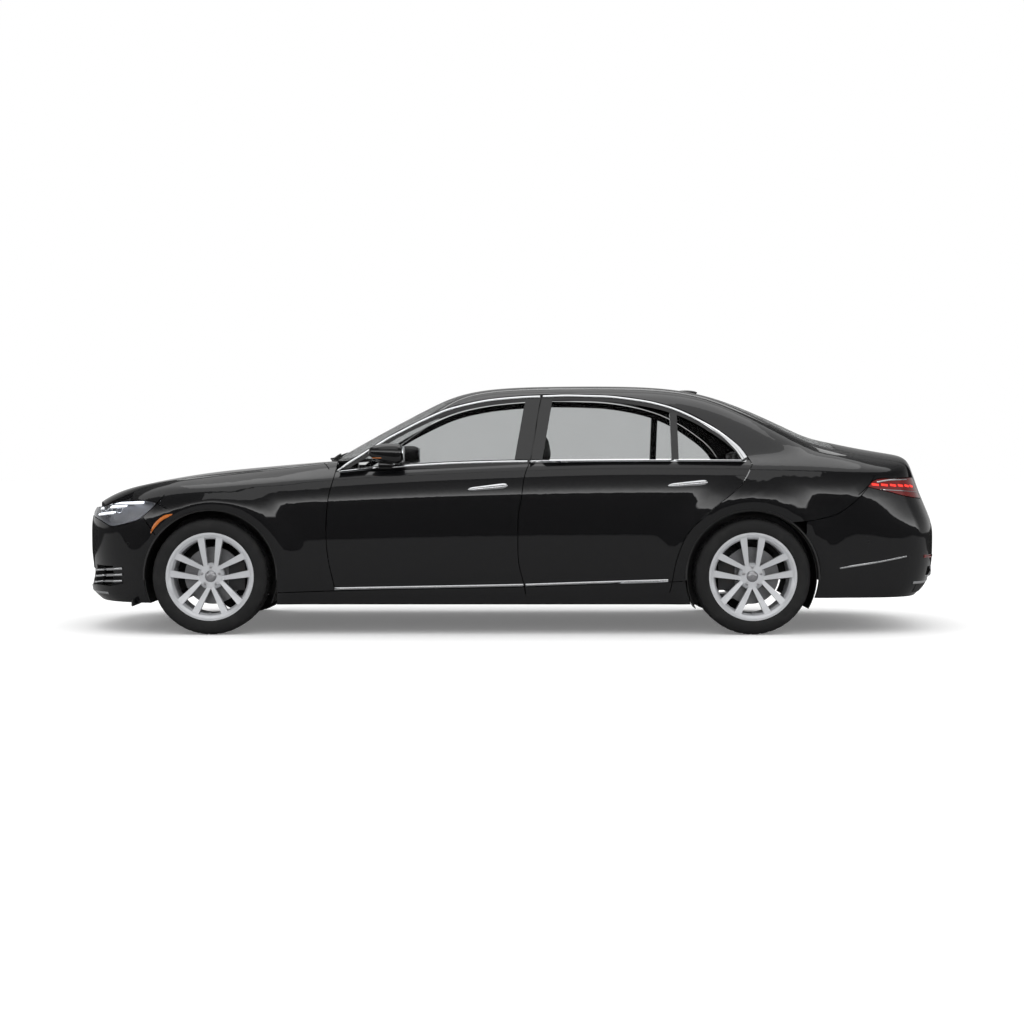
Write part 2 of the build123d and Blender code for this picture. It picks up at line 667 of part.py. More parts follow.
def build_fender(side):
    wall = shell(lower_body, *section_rays(-2270, -1000, -20, 40, side, 48, 36), SHELL * 0.6)
    low, high = outer_span(side)
    tools = hood_cutters(SHUT_GAP) + lamp_cutters(SHUT_GAP, side)
    tools += [ribbon(BUMPER_FENDER, SHUT_GAP, "side", low, high), ribbon(FENDER_DOOR, SHUT_GAP, "side", low, high),
              ribbon(DOOR_BOTTOM, SHUT_GAP, "side", low, high), arch_cutter(FRONT_AXLE, ARCH_R, side),
              ribbon(WINDSHIELD_BASE, SHUT_GAP, "top", 100, 1500)]
    return biggest(cut(wall, *tools))


# ---------------------------------------------------------------- roof, glass and side frames

roof_edge = curve(*ROOF_EDGE)


def roof_rays(x0, x1, nx=46, ny=25, over=32.0):
    """Upright rays over the glasshouse, from rail to rail."""
    return rays(np.linspace(x0, x1, nx), np.linspace(-1, 1, ny),
                lambda x, v: (x, v * (roof_edge(x) + over), 600), lambda x, v: (0, 0, 1))


def rail_cutters(width):
    return [ribbon(line, width, "top", 600, 2000) for line in (ROOF_EDGE, mirrored(ROOF_EDGE))]


def seam(x, width):
    half = width / 2
    return block(float(sx(x)) - half, float(sx(x)) + half, -WIDTH, WIDTH, 500, 2000)


def build_roof():
    wall = shell(whole_body, *roof_rays(-500, 1400), PANEL)
    tools = rail_cutters(2 * FIT) + [seam(WINDSHIELD_TOP_X, 2 * FIT), seam(REAR_WINDOW_TOP_X, 2 * FIT)]
    return biggest(cut(wall, *tools))


def build_windshield():
    wall = shell(whole_body, *roof_rays(-1160, WINDSHIELD_TOP_X + 60, 30, 21), GLASS)
    tools = rail_cutters(2 * FIT) + [seam(WINDSHIELD_TOP_X, 2 * FIT), ribbon(WINDSHIELD_BASE, 2 * FIT, "top", 600, 2000)]
    return biggest(cut(wall, *tools))


def build_rear_window():
    wall = shell(whole_body, *roof_rays(REAR_WINDOW_TOP_X - 60, 2030, 36), GLASS)
    tools = rail_cutters(2 * FIT) + [seam(REAR_WINDOW_TOP_X, 2 * FIT), seam(TRUNK_FRONT_X - SHUT_GAP / 2, SHUT_GAP)]
    return biggest(cut(wall, *tools))


def build_cowl():
    """Panel between the hood and the windshield, with its drain wall down to the firewall."""
    wall = shell(whole_body, *roof_rays(-1290, -880, 24), GLASS * 2)
    tools = rail_cutters(2 * FIT) + [ribbon(WINDSHIELD_BASE, 2 * FIT, "top", 600, 2000),
                                     ribbon(HOOD_REAR, 2 * SWING, "top", 600, 2000)]
    keep = prism(COWL_SIDE + mirrored(COWL_SIDE)[::-1], "top", 600, 2000)
    return piece(cut(wall, *tools) & keep, -1150, 0, 1020)


def centre_pillar():
    """Pillar between the doors, inboard of both; section in y and z, outline in x and z."""
    low = DOOR_INNER_Y - SWING
    section = ((low, 179), (low, 1044), (850, 1056), (654, 1446), (600, 1446), (775, 1056), (750, 1044), (750, 179))
    points = [Vector(0, -float(sy(y)), float(sz(z))) for y, z in section]
    bar = Solid.extrude(Face(Wire.make_polygon(points)).translate(Vector(float(sx(-100)), 0, 0)), Vector(500, 0, 0))
    return bar & prism(PILLAR_B, "side", -WIDTH, -60)


def build_side_frame():
    """Left body side: front pillar, roof rail, centre pillar, rear pillar, quarter panel and sill."""
    wall = shell(whole_body, *section_rays(-1390, 2400, -24, 63, -1, 48, 50), SHELL)
    tools = [ribbon(line, SHUT_GAP, "side", -WIDTH, -60) for line in (DOOR_TOP, DOOR_BOTTOM, DOOR_REAR)]
    tools += [door_blank(True, -1, SHUT_GAP), door_blank(False, -1, SHUT_GAP)]
    front = -1040 + SHUT_GAP / 2
    ahead = ((-1500, 1600), (-1500, 245), (-1430, 245.5), (-1340, 247.5), (-1050, 257.5), (front, 258), (front, 1600))
    tools.append(prism(ahead, "side", -WIDTH, 0))
    tools.append(ribbon(DOOR_DOOR[:-1] + ((187, 1432),), SHUT_GAP + 2, "side", -WIDTH, -60))
    tools.append(drawn_block(-1500, 2600, -1300, 0, 0, SILL_Z))
    tools += [ribbon(BUMPER_QUARTER, SHUT_GAP, "side", -WIDTH, -60), ribbon(TAIL_TOP, SHUT_GAP, "side", -WIDTH, -60)]
    tools += [arch_cutter(FRONT_AXLE, ARCH_R, -1), arch_cutter(REAR_AXLE, ARCH_R, -1)]
    tools.append(ribbon(mirrored(ROOF_EDGE), 2 * FIT, "top", 500, 2000))
    lid_front = TRUNK_FRONT_X - SHUT_GAP
    tools.append(drawn_block(lid_front, 2700, -TRUNK_HALF - SHUT_GAP, 100, 500, 1500))
    tools.append(drawn_block(lid_front - 2 * FIT, lid_front + 1, -TRUNK_HALF - 24, -TRUNK_HALF, 500, 1500))
    parts = cut(wall, *tools).solids()
    upper = max((p for p in parts if p.bounding_box().max.Z > sz(1300)), key=lambda p: p.volume)
    sill = max((p for p in parts if p.bounding_box().max.Z < sz(330)), key=lambda p: p.volume)
    frame = upper + sill + sill_box() + centre_pillar()
    return biggest(frame)


def sill_box():
    """Sill beam with the hinge pillar and the cowl side that carries the front pillar."""
    beam = drawn_block(-1370, 985, -905, -740, SILL_Z + 2, 246)
    hinge = drawn_block(-1275, -1125, -812, -750, SILL_Z + 4, 950)
    foot = drawn_block(-1200, -965, -806, -720, 915, 960) + drawn_block(-1036, -965, -806, -720, 925, 1004)
    rear = drawn_block(925, 1020, -900, -740, SILL_Z + 4, 330)
    return beam + hinge + foot + rear


# ---------------------------------------------------------------- wheels

def ring(profile):
    """Solid of revolution about Y through the origin, from (radius, y) points."""
    face = Face(Wire.make_polygon([Vector(r, y, 0) for r, y in profile]))
    return Solid.revolve(face, 360, Axis.Y)


def radial(points, y0, y1):
    """Prism across the wheel from an (x, z) outline."""
    face = Face(Wire.make_polygon([Vector(x, y0, z) for x, z in points]))
    return Solid.extrude(face, Vector(0, y1 - y0, 0))


def turned(shape, angle):
    return shape.rotate(Axis.Y, angle)


def tyre_solid():
    """Left tyre about the origin; its outer side faces -Y."""
    bead = RIM_R + FIT
    half = TYRE_W / 2
    flange = RIM_W / 2
    side = [(bead, flange - 8.5 - FIT), (RIM_FLANGE_R + FIT, flange - 7 - FIT), (RIM_FLANGE_R + 3, flange - 4),
            (bead + 30, half - 6), (bead + 48, half),
            (TYRE_R - 38, half - 3), (TYRE_R - 15, half - 12), (TYRE_R - 4, half - 28), (TYRE_R, half - 48)]
    return ring(side + [(r, -y) for r, y in side[::-1]])


def spoke_outlines():
    """Ten tapered spokes in five pairs; (x, z) outlines with z up."""
    outlines = []
    for pair in range(SPOKE_PAIRS):
        centre = math.radians(90 + 360 / SPOKE_PAIRS * pair)
        for hand in (-1, 1):
            inner = centre + hand * math.radians(29)
            outer = centre + hand * math.radians(13.5)
            a = np.array([62 * math.cos(inner), 62 * math.sin(inner)])
            b = np.array([240 * math.cos(outer), 240 * math.sin(outer)])
            run = (b - a) / np.linalg.norm(b - a)
            across = np.array([-run[1], run[0]])
            outlines.append([a - across * 11, b - across * 21, b + across * 21, a + across * 11])
    return outlines


HUB_FACE_Y = -36.0        # mounting face of the wheel, outboard of its centre line
SPOKE_DEPTH = 30.0


def rim_solid():
    """Left rim about the origin: barrel, five pairs of spokes and hub."""
    flange = RIM_W / 2
    barrel = ring([(RIM_FLANGE_R, flange), (RIM_FLANGE_R, flange - 7), (RIM_R, flange - 8.5), (RIM_R, flange - 30),
                   (229, flange - 46), (229, -flange + 40), (RIM_R, -flange + 26), (RIM_R, -flange + 8.5),
                   (RIM_FLANGE_R, -flange + 7), (RIM_FLANGE_R, -flange), (248, -flange), (232, -flange + 14),
                   (221, -flange + 40), (221, flange - 46), (233, flange - 20), (240, flange)])
    dish = ring([(34, -72), (64, -76), (150, -94), (236, -108), (236, -108 + SPOKE_DEPTH + 8),
                 (150, -94 + SPOKE_DEPTH + 4), (64, HUB_FACE_Y - 4), (34, HUB_FACE_Y - 4)])
    spokes = None
    for outline in spoke_outlines():
        spoke = radial([tuple(p) for p in outline], -130, 0) & dish
        spokes = spoke if spokes is None else spokes + spoke
    hub = ring([(HUB_R, HUB_FACE_Y), (80, HUB_FACE_Y), (80, -62), (66, -78), (HUB_R, -78)])
    rim = barrel + spokes + hub
    for k in range(BOLTS):
        angle = math.radians(90 + 72 * k)
        x, z = BOLT_CIRCLE_R * math.cos(angle), BOLT_CIRCLE_R * math.sin(angle)
        rim = rim - rod_at(x, -200, 0, z, BOLT_HOLE_R)
    return biggest(rim)


def rod_at(x, y0, y1, z, radius):
    return Solid.make_cylinder(radius, y1 - y0, Plane(origin=(x, y0, z), z_dir=(0, 1, 0)))


DISC_Y = 24.0             # middle of the brake disc, inboard of the wheel's centre line
SPINDLE_R = 29.95
SPINDLE_END_Y = 96.0
RUNNING = 0.05


def disc_solid():
    """Left brake disc with its hat and the hub spindle."""
    low, high = DISC_Y - DISC_T / 2, DISC_Y + DISC_T / 2
    return ring([(0, HUB_FACE_Y + FIT), (82, HUB_FACE_Y + FIT), (82, low), (DISC_R, low), (DISC_R, high), (74, high),
                 (74, low - 10), (SPINDLE_R, low - 10), (SPINDLE_R, SPINDLE_END_Y), (0, SPINDLE_END_Y)])


def caliper(way):
    """Brake caliper over the disc edge, on the +X or -X side."""
    x0, x1 = sorted((way * 98, way * 196))
    body = block(x0, x1, -22, 70, -85, 85)
    slot = ring([(0, DISC_Y - DISC_T / 2 - 3), (DISC_R + 4, DISC_Y - DISC_T / 2 - 3),
                 (DISC_R + 4, DISC_Y + DISC_T / 2 + 3), (0, DISC_Y + DISC_T / 2 + 3)])
    shape = body - slot
    return shape & rod_at(0, -200, 200, 0, 212)


KINGPIN_Y = 76.0          # steering axis, inboard of the wheel's centre line
KNUCKLE_LOW = -118.0
KNUCKLE_HIGH = 150.0
BALL_R = 12.0


def knuckle_solid(way):
    """Wheel carrier about the wheel centre: bearing ring, upright and caliper."""
    carrier = rod_at(0, 48, 100, 0, 56)
    upright = block(-26, 26, 56, 96, KNUCKLE_LOW, KNUCKLE_HIGH)
    arm = block(*sorted((0, way * 150)), 56, 70, -34, 34)
    body = carrier + upright + arm + caliper(way)
    body = body - rod_at(0, -10, 300, 0, SPINDLE_R + RUNNING)
    return biggest(body)


def at_wheel(shape, axle_x, track, side):
    """Left-side wheel piece to its corner of the car."""
    placed = Pos(axle_x, -track / 2, TYRE_R) * shape
    return placed if side < 0 else placed.mirror(Plane.XZ)


# ---------------------------------------------------------------- chassis and cabin

ARM_Z = TYRE_R + KNUCKLE_LOW
UPPER_ARM_Z = TYRE_R + KNUCKLE_HIGH
LINER_T = 10.0


def build_front_subframe():
    """Cross member with both pairs of control arms."""
    x = FRONT_AXLE
    pin = TRACK_FRONT / 2 - KINGPIN_Y
    shape = block(x - 110, x + 150, -430, 430, 196, 252)
    for side in (-1, 1):
        y0, y1 = sorted((side * 400, side * (pin + 18)))
        shape = shape + block(x - 28, x + 28, y0, y1, 200, ARM_Z - FIT)
        shape = shape + block(x - 28, x + 28, y0, y1, UPPER_ARM_Z + FIT, UPPER_ARM_Z + 22)
        t0, t1 = sorted((side * 400, side * 440))
        shape = shape + block(x - 28, x + 28, t0, t1, 210, UPPER_ARM_Z + 21)
    return biggest(shape)


def build_rear_axle():
    """Rear cross member with arms, both wheel carriers and the drive shafts' housings."""
    x = REAR_AXLE
    carrier_y = TRACK_REAR / 2 - 100
    shape = block(x - 90, x + 90, -420, 420, 215, 285)
    shape = shape + rod_at(x, -150, 150, 320, 76)
    for side in (-1, 1):
        y0, y1 = sorted((side * 110, side * (carrier_y + 2)))
        shape = shape + block(x - 26, x + 26, *sorted((side * 300, side * (TRACK_REAR / 2 - 60))), 232, 262)
        shape = shape + rod_at(x, y0, y1, TYRE_R, 20)
        shape = shape + at_wheel(knuckle_solid(-1), x, TRACK_REAR, side)
    return biggest(shape)


def build_engine():
    base = 252 + FIT
    lower = block(FRONT_AXLE - 330, FRONT_AXLE + 300, -185, 185, base, 520)
    upper = block(FRONT_AXLE - 330, FRONT_AXLE + 300, -330, 330, 515, 800)
    return lower + upper


def build_liners():
    """Four half-round wheel arch liners."""
    liners = []
    for (name, x, track), inner_y, outer_y in zip(AXLES, (528, 692), (930, 940)):
        for side in (-1, 1):
            y0, y1 = sorted((side * float(sy(inner_y)), side * float(sy(outer_y))))
            outer = rod_at(x, y0, y1, TYRE_R, ARCH_R - FIT)
            hollow = rod_at(x, y0 - 5, y1 + 5, TYRE_R, ARCH_R - FIT - LINER_T)
            lower = block(x - 500, x + 500, y0 - 10, y1 + 10, -100, TYRE_R - 20)
            liners.append(biggest((outer - hollow) - lower))
    return liners


def build_floor():
    """Floor pan, tunnel, firewall, front rails, trunk floor and bulkheads as one body shell."""
    half = 740 - FIT
    shape = drawn_block(-1290, 1000, -half, half, 195, 225)
    shape = shape + drawn_block(-1270, 900, -150, 150, 200, 400)
    shape = shape + drawn_block(-1290, -1262, -half, half, 195, 930)
    shape = shape + drawn_block(-1300, -1255, -655, 655, 900, 955)
    shape = shape + drawn_block(955, 985, -600, 600, 200, 430)
    shape = shape + drawn_block(955, 1640, -500, 500, 402, 430)
    shape = shape + drawn_block(1590, 2460, -510, 510, 320, 350)
    shape = shape + drawn_block(2430, 2470, -560, 560, 300, 630)
    shape = shape + drawn_block(1590, 1615, -620, 620, 322, 960)
    shape = shape + drawn_block(1480, 1985, -620, 620, 940, 962)
    for side in (-1, 1):
        rail = sorted((side * 440, side * 500))
        shape = shape + drawn_block(-2470, -1262, *rail, 400, 490)
        shape = shape + drawn_block(1600, 2440, *sorted((side * 570, side * 600)), 345, 800)
        shape = shape + drawn_block(1600, 2440, *sorted((side * 500, side * 600)), 345, 370)
    shape = shape + drawn_block(-2490, -2440, -560, 560, 400, 560)
    shape = shape + drawn_block(-2440, -2000, -430, 430, 180, 195)
    shape = shape + drawn_block(-2460, -2425, -300, 300, 182, 420)
    return biggest(shape)


WHEEL_CENTRE = (-655.0, -372.0, 905.0)
COLUMN_LEAN = 24.0        # degrees below the horizontal, going forward
STEERING_R = 186.0


def column_axis():
    lean = math.radians(COLUMN_LEAN)
    return Vector(-math.cos(lean), 0, -math.sin(lean))


def build_dashboard():
    """Instrument panel across the car with the centre console and the column shroud."""
    outline = ((-1254, 620), (-1254, 940), (-1130, 968), (-960, 972), (-850, 940), (-822, 890), (-850, 800),
               (-900, 720), (-960, 620))
    panel = prism(outline, "side", -690, 690)
    panel = panel + drawn_block(-900, 180, -135, 135, 400 + FIT, 640)
    x, y, z = WHEEL_CENTRE
    way = column_axis()
    start = Vector(x, y, z) + way * 78
    shroud = Solid.make_cylinder(44, 190, Plane(origin=start, z_dir=way))
    return biggest(panel + shroud)


def build_steering_wheel():
    x, y, z = WHEEL_CENTRE
    way = column_axis()
    plane = Plane(origin=(x, y, z), x_dir=(0, 1, 0), z_dir=way)
    wheel = Solid.make_torus(STEERING_R, 15, plane)
    hub = Solid.make_cylinder(62, 34, Plane(origin=Vector(x, y, z) - way * 6, x_dir=(0, 1, 0), z_dir=way))
    column = Solid.make_cylinder(26, 60, Plane(origin=Vector(x, y, z) + way * 17, z_dir=way))
    shape = wheel + hub + column
    for angle in (0, 180, 90 if way.Z > 0 else -90):
        bar = Solid.make_box(STEERING_R - 8, 34, 12)
        bar = bar.translate(Vector(0, -17, 4)).rotate(Axis.Z, angle)
        shape = shape + plane.from_local_coords(bar)
    return biggest(shape)


def build_front_seats():
    outline = ((-470, 225.5), (-505, 320), (-500, 470), (-420, 500), (-60, 455), (30, 520), (165, 1020), (150, 1120),
               (190, 1160), (245, 1140), (262, 1040), (210, 800), (150, 430), (90, 225.5))
    return [prism(outline, "side", *sorted((side * 175, side * 660))) for side in (-1, 1)]


def build_rear_bench():
    outline = ((960, 430 + FIT), (960, 431), (850, 431), (838, 460), (880, 490), (1240, 462), (1330, 540),
               (1490, 935), (1560, 935), (1585, 700), (1585, 430 + FIT))
    return prism(outline, "side", -490, 490) + prism(
        ((850, 431), (838, 460), (880, 490), (1005, 480), (1005, 431)), "side", -680, 680)


def build_mirror():
    shell_box = drawn_block(-842, -640, -1048, -900, 1002, 1132)
    body = shell_box.fillet(42, shell_box.edges())
    foot = drawn_block(-800, -700, -930, -868, 985, 1050)
    return body + foot


# ---------------------------------------------------------------- assembly

def solids_of(shape):
    return list(shape) if isinstance(shape, (list, tuple)) else [shape]


def save(name, shape):
    solids = solids_of(shape)
    export_step(solids[0] if len(solids) == 1 else Compound(solids), f"parts/{name}.step")


def flipped(shape):
    return [solid.mirror(Plane.XZ) for solid in solids_of(shape)]


def save_pair(stem, left):
    save(f"{stem}_left", left)
    save(f"{stem}_right", flipped(left))


def save_wheels():
    tyre, rim, disc = tyre_solid(), rim_solid(), disc_solid()
    for end, x, track in AXLES:
        for side_name, side in SIDES:
            for stem, shape in (("tyre", tyre), ("rim", rim), ("brake_disc", disc)):
                save(f"{end}_{stem}_{side_name}", at_wheel(shape, x, track, side))
    for side_name, side in SIDES:
        save(f"front_knuckle_{side_name}", at_wheel(knuckle_solid(1), FRONT_AXLE, TRACK_FRONT, side))


def save_doors():
    for stem, front in (("front", True), ("rear", False)):
        door = build_door(front, -1)
        glass = build_door_glass(front, -1)
        save_pair(f"{stem}_door", door)
        save_pair(f"{stem}_door_glass", glass)
        if front:
            save_pair("mirror", biggest(cut(build_mirror(), door, *solids_of(glass))))


def clear_of(shape, lid):
    """A piece cut back to leave the shut gap under a lid."""
    return biggest(cut(shape, lid, lid.translate(Vector(0, 0, -SHUT_GAP))))


def save_nose():
    hood = build_hood()
    save("hood", hood)
    save("grille", clear_of(build_grille(), hood))
    save("headlights", [clear_of(lamp, hood) for lamp in build_headlights()])


def main():
    os.makedirs("parts", exist_ok=True)
    save_nose()
    save_wheels()
    save_doors()
    save_pair("side_frame", build_side_frame())
    fender = build_fender(-1)
    save("front_fenders", [fender] + flipped(fender))
    for name, build in (("trunk_lid", build_trunk_lid), ("roof_panel", build_roof),
                        ("windshield", build_windshield), ("rear_window", build_rear_window),
                        ("cowl_panel", build_cowl), ("front_bumper", build_front_bumper),
                        ("rear_bumper", build_rear_bumper), ("taillights", build_taillights),
                        ("floor_pan", build_floor), ("wheel_arch_liners", build_liners),
                        ("front_subframe", build_front_subframe), ("rear_axle", build_rear_axle),
                        ("engine_block", build_engine), ("dashboard", build_dashboard),
                        ("steering_wheel", build_steering_wheel), ("front_seats", build_front_seats),
                        ("rear_bench", build_rear_bench)):
        save(name, build())


if __name__ == "__main__":
    main()
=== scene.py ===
"""Luxury sedan: finishes, trim, lamps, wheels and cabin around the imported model."""

import json
import math
from functools import partialmethod

import bmesh
import bpy
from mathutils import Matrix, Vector
from mathutils.bvhtree import BVHTree


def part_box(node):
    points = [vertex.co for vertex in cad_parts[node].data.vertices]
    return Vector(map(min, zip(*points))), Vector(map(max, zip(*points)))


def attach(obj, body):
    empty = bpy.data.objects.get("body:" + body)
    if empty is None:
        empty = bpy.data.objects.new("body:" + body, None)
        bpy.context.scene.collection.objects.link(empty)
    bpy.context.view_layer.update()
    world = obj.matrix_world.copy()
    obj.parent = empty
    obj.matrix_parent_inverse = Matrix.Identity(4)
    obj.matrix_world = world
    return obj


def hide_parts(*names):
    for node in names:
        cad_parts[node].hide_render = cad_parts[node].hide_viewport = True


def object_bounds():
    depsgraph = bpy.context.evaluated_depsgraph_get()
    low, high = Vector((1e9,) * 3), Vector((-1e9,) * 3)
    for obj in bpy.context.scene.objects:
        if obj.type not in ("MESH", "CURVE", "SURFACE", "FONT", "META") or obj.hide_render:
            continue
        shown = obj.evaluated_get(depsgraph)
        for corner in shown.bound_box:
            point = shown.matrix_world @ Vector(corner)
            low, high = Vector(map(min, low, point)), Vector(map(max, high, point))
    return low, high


bl_info = {
    "name": "Luxury sedan",
    "version": (1, 0, 0),
    "blender": (4, 5, 0),
    "location": "3D View > Sidebar > Sedan",
    "description": "Builds the finished sedan around its packed model",
    "category": "Add Mesh",
}

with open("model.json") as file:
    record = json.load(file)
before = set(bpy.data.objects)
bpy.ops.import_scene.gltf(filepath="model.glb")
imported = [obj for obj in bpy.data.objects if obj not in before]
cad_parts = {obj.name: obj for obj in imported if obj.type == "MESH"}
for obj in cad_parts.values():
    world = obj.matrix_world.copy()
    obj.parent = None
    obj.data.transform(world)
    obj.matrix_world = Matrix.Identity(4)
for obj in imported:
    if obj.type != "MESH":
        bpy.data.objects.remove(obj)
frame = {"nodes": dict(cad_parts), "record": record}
NODES = frame["nodes"]
CAD_BOX = [list(corner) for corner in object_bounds()]
FLOOR_Z = CAD_BOX[0][2]

SIDES = (("left", -1), ("right", 1))
ENDS = ("front", "rear")


# ------------------------------------------------------------ settings

class SedanSizes(bpy.types.PropertyGroup):
    trim_width: bpy.props.FloatProperty(
        name="Window trim width", description="Width of the bright strip round the side windows",
        default=0.013, min=0.004, max=0.04, unit="LENGTH")
    belt_width: bpy.props.FloatProperty(
        name="Belt trim width", description="Width of the bright strip under the side windows",
        default=0.012, min=0.004, max=0.04, unit="LENGTH")
    sill_width: bpy.props.FloatProperty(
        name="Sill trim width",
        description="Height of the bright strip along the foot of the doors",
        default=0.014, min=0.004, max=0.04, unit="LENGTH")
    handle_length: bpy.props.FloatProperty(
        name="Door handle length", description="Length of each flush door handle",
        default=0.238, min=0.15, max=0.3, unit="LENGTH")
    wheel_steps: bpy.props.IntProperty(
        name="Tyre steps", description="Steps in one turn of a tyre", default=120, min=48, max=240)


class SedanColours(bpy.types.PropertyGroup):
    paint: bpy.props.FloatVectorProperty(
        name="Paint", description="Body colour", subtype="COLOR", size=3,
        default=(0.0035, 0.0035, 0.004), min=0, max=1)
    hide: bpy.props.FloatVectorProperty(
        name="Leather", description="Seat leather colour", subtype="COLOR", size=3,
        default=(0.035, 0.033, 0.032),
        min=0, max=1)
    glass: bpy.props.FloatVectorProperty(
        name="Glass", description="Tint of the windows", subtype="COLOR", size=3,
        default=(0.65, 0.66, 0.66),
        min=0, max=1)
    alloy: bpy.props.FloatVectorProperty(
        name="Alloy", description="Wheel colour", subtype="COLOR", size=3,
        default=(0.6, 0.61, 0.63), min=0, max=1)


# ------------------------------------------------------------ shader expressions

class Value:
    """A shader socket that combines with numbers and other values through + - * and **."""

    def __init__(self, finish, socket):
        self.finish = finish
        self.socket = socket

    def maths(self, operation, other=None, swap=False):
        pair = [other, self] if swap else [self, other]
        sockets = {i: part for i, part in enumerate(pair) if part is not None}
        return self.finish.node("ShaderNodeMath", {"operation": operation}, sockets)["Value"]

    __add__ = partialmethod(maths, "ADD")
    __sub__ = partialmethod(maths, "SUBTRACT")
    __mul__ = partialmethod(maths, "MULTIPLY")
    __pow__ = partialmethod(maths, "POWER")
    __radd__ = partialmethod(maths, "ADD", swap=True)
    __rsub__ = partialmethod(maths, "SUBTRACT", swap=True)
    larger = partialmethod(maths, "MAXIMUM")
    smaller = partialmethod(maths, "MINIMUM")
    wave = partialmethod(maths, "SINE")
    size = partialmethod(maths, "ABSOLUTE")


MIX_COLOURS = (6, 7)        # places of the mix node's colour sockets
MIX_RESULT = 2


class Finish:
    """One material, or one world, built node by node."""

    def __init__(self, name, store=None):
        self.owner = (bpy.data.materials if store is None else store).new(name)
        self.owner.use_nodes = True
        self.tree = self.owner.node_tree
        self.tree.nodes.clear()

    def node(self, kind, settings=None, sockets=None):
        """Adds a node, applies its settings, then feeds its sockets with values or numbers."""
        made = self.tree.nodes.new(kind)
        for name, setting in (settings or {}).items():
            setattr(made, name, setting)
        for name, source in (sockets or {}).items():
            if isinstance(source, Value):
                self.tree.links.new(source.socket, made.inputs[name])
            elif made.inputs[name].type == "RGBA" and len(source) == 3:
                made.inputs[name].default_value = (*source, 1)
            else:
                made.inputs[name].default_value = source
        return Outputs(self, made)

    def place(self):
        return self.node("ShaderNodeTexCoord")["Object"]

    def noise(self, scale, detail=4.0, rough=0.5, stretch=None):
        where = self.place()
        if stretch:
            where = self.node("ShaderNodeMapping", None,
                              {"Vector": where, "Scale": stretch})["Vector"]
        return self.node("ShaderNodeTexNoise", None, {
            "Vector": where, "Scale": scale, "Detail": detail, "Roughness": rough})["Fac"]

    def cells(self, scale, feature="F1", out="Distance"):
        return self.node("ShaderNodeTexVoronoi", {"feature": feature},
                         {"Vector": self.place(), "Scale": scale})[out]

    def axis(self, name):
        return self.node("ShaderNodeSeparateXYZ", None, {"Vector": self.place()})[name]

    def blend(self, factor, a, b):
        """Colour that goes from a to b as factor goes from 0 to 1."""
        mix = self.node("ShaderNodeMix", {"data_type": "RGBA"},
                        {0: factor, MIX_COLOURS[0]: a, MIX_COLOURS[1]: b})
        return Value(self, mix.made.outputs[MIX_RESULT])

    def bump(self, height, strength, distance):
        sockets = {"Height": height, "Strength": strength, "Distance": distance}
        return self.node("ShaderNodeBump", None, sockets)["Normal"]

    def principled(self, **sockets):
        named = {name.replace("_", " "): source for name, source in sockets.items()}
        return self.node("ShaderNodeBsdfPrincipled", None, named)["BSDF"]

    def glowing(self, strength):
        return self.node("ShaderNodeEmission", None,
                         {"Color": (1, 1, 1), "Strength": strength})["Emission"]

    def mixed(self, factor, first, second):
        return self.node("ShaderNodeMixShader", None, {0: factor, 1: first, 2: second})["Shader"]

    def shown(self, shader):
        self.node("ShaderNodeOutputMaterial", None, {"Surface": shader})
        return self.owner

    def worn(self, **sockets):
        return self.shown(self.principled(**sockets))


class Outputs:
    """The output sockets of one node, by name."""

    def __init__(self, finish, made):
        self.finish = finish
        self.made = made

    def __getitem__(self, name):
        return Value(self.finish, self.made.outputs[name])


# ------------------------------------------------------------ finishes

def black_paint(colours):
    f = Finish("black_paint")
    flake = f.cells(900.0, out="Color")
    sparkle = f.node("ShaderNodeSeparateColor", None, {"Color": flake})["Red"]
    film = f.noise(3.0, 3.0)
    base = tuple(colours.paint)
    colour = f.blend(sparkle * 0.5, base, tuple(part * 2.2 for part in base))
    ripple = f.noise(140.0, 2.0)
    return f.worn(
        Base_Color=colour, Roughness=0.3 + film * 0.1, Specular_IOR_Level=0.1,
        Coat_Weight=1.0, Coat_Roughness=0.012, Coat_IOR=1.5, Normal=f.bump(ripple, 0.012, 0.0003))


def wheel_alloy(colours):
    f = Finish("wheel_alloy")
    grain = f.noise(480.0, 2.0)
    cloud = f.noise(14.0, 4.0)
    base = tuple(colours.alloy)
    dust = (cloud - 0.52).larger(0.0) * 0.9
    return f.worn(
        Base_Color=f.blend(dust, base, tuple(part * 0.6 for part in base)), Metallic=0.35,
        Roughness=0.3 + dust * 0.4 + grain * 0.06, Coat_Weight=0.5, Coat_Roughness=0.05,
        Normal=f.bump(grain, 0.05, 0.0002))


def tyre_rubber():
    f = Finish("tyre_rubber")
    grain = f.noise(900.0, 3.0)
    dust = f.noise(16.0, 5.0)
    film = (dust - 0.5).larger(0.0)
    return f.worn(
        Base_Color=f.blend(film * 1.6, (0.009, 0.009, 0.0095), (0.028, 0.027, 0.026)),
        Roughness=0.6 + film * 0.5,
        Specular_IOR_Level=0.35, Normal=f.bump(grain, 0.2, 0.0004))


def clear_sheet(name, film_scale, film_detail, film_share, tones, ior, shadow_tone):
    """Glass that lets light straight through on its way to what is behind it."""
    f = Finish(name)
    film = f.noise(film_scale, film_detail)
    pane = f.principled(Base_Color=f.blend(film * film_share, *tones), Roughness=0.0,
                        Transmission_Weight=1.0, IOR=ior)
    clear = f.node("ShaderNodeBsdfTransparent", None, {"Color": shadow_tone})["BSDF"]
    path = f.node("ShaderNodeLightPath")
    return f.shown(f.mixed(path["Is Shadow Ray"].larger(path["Is Diffuse Ray"]), pane, clear))


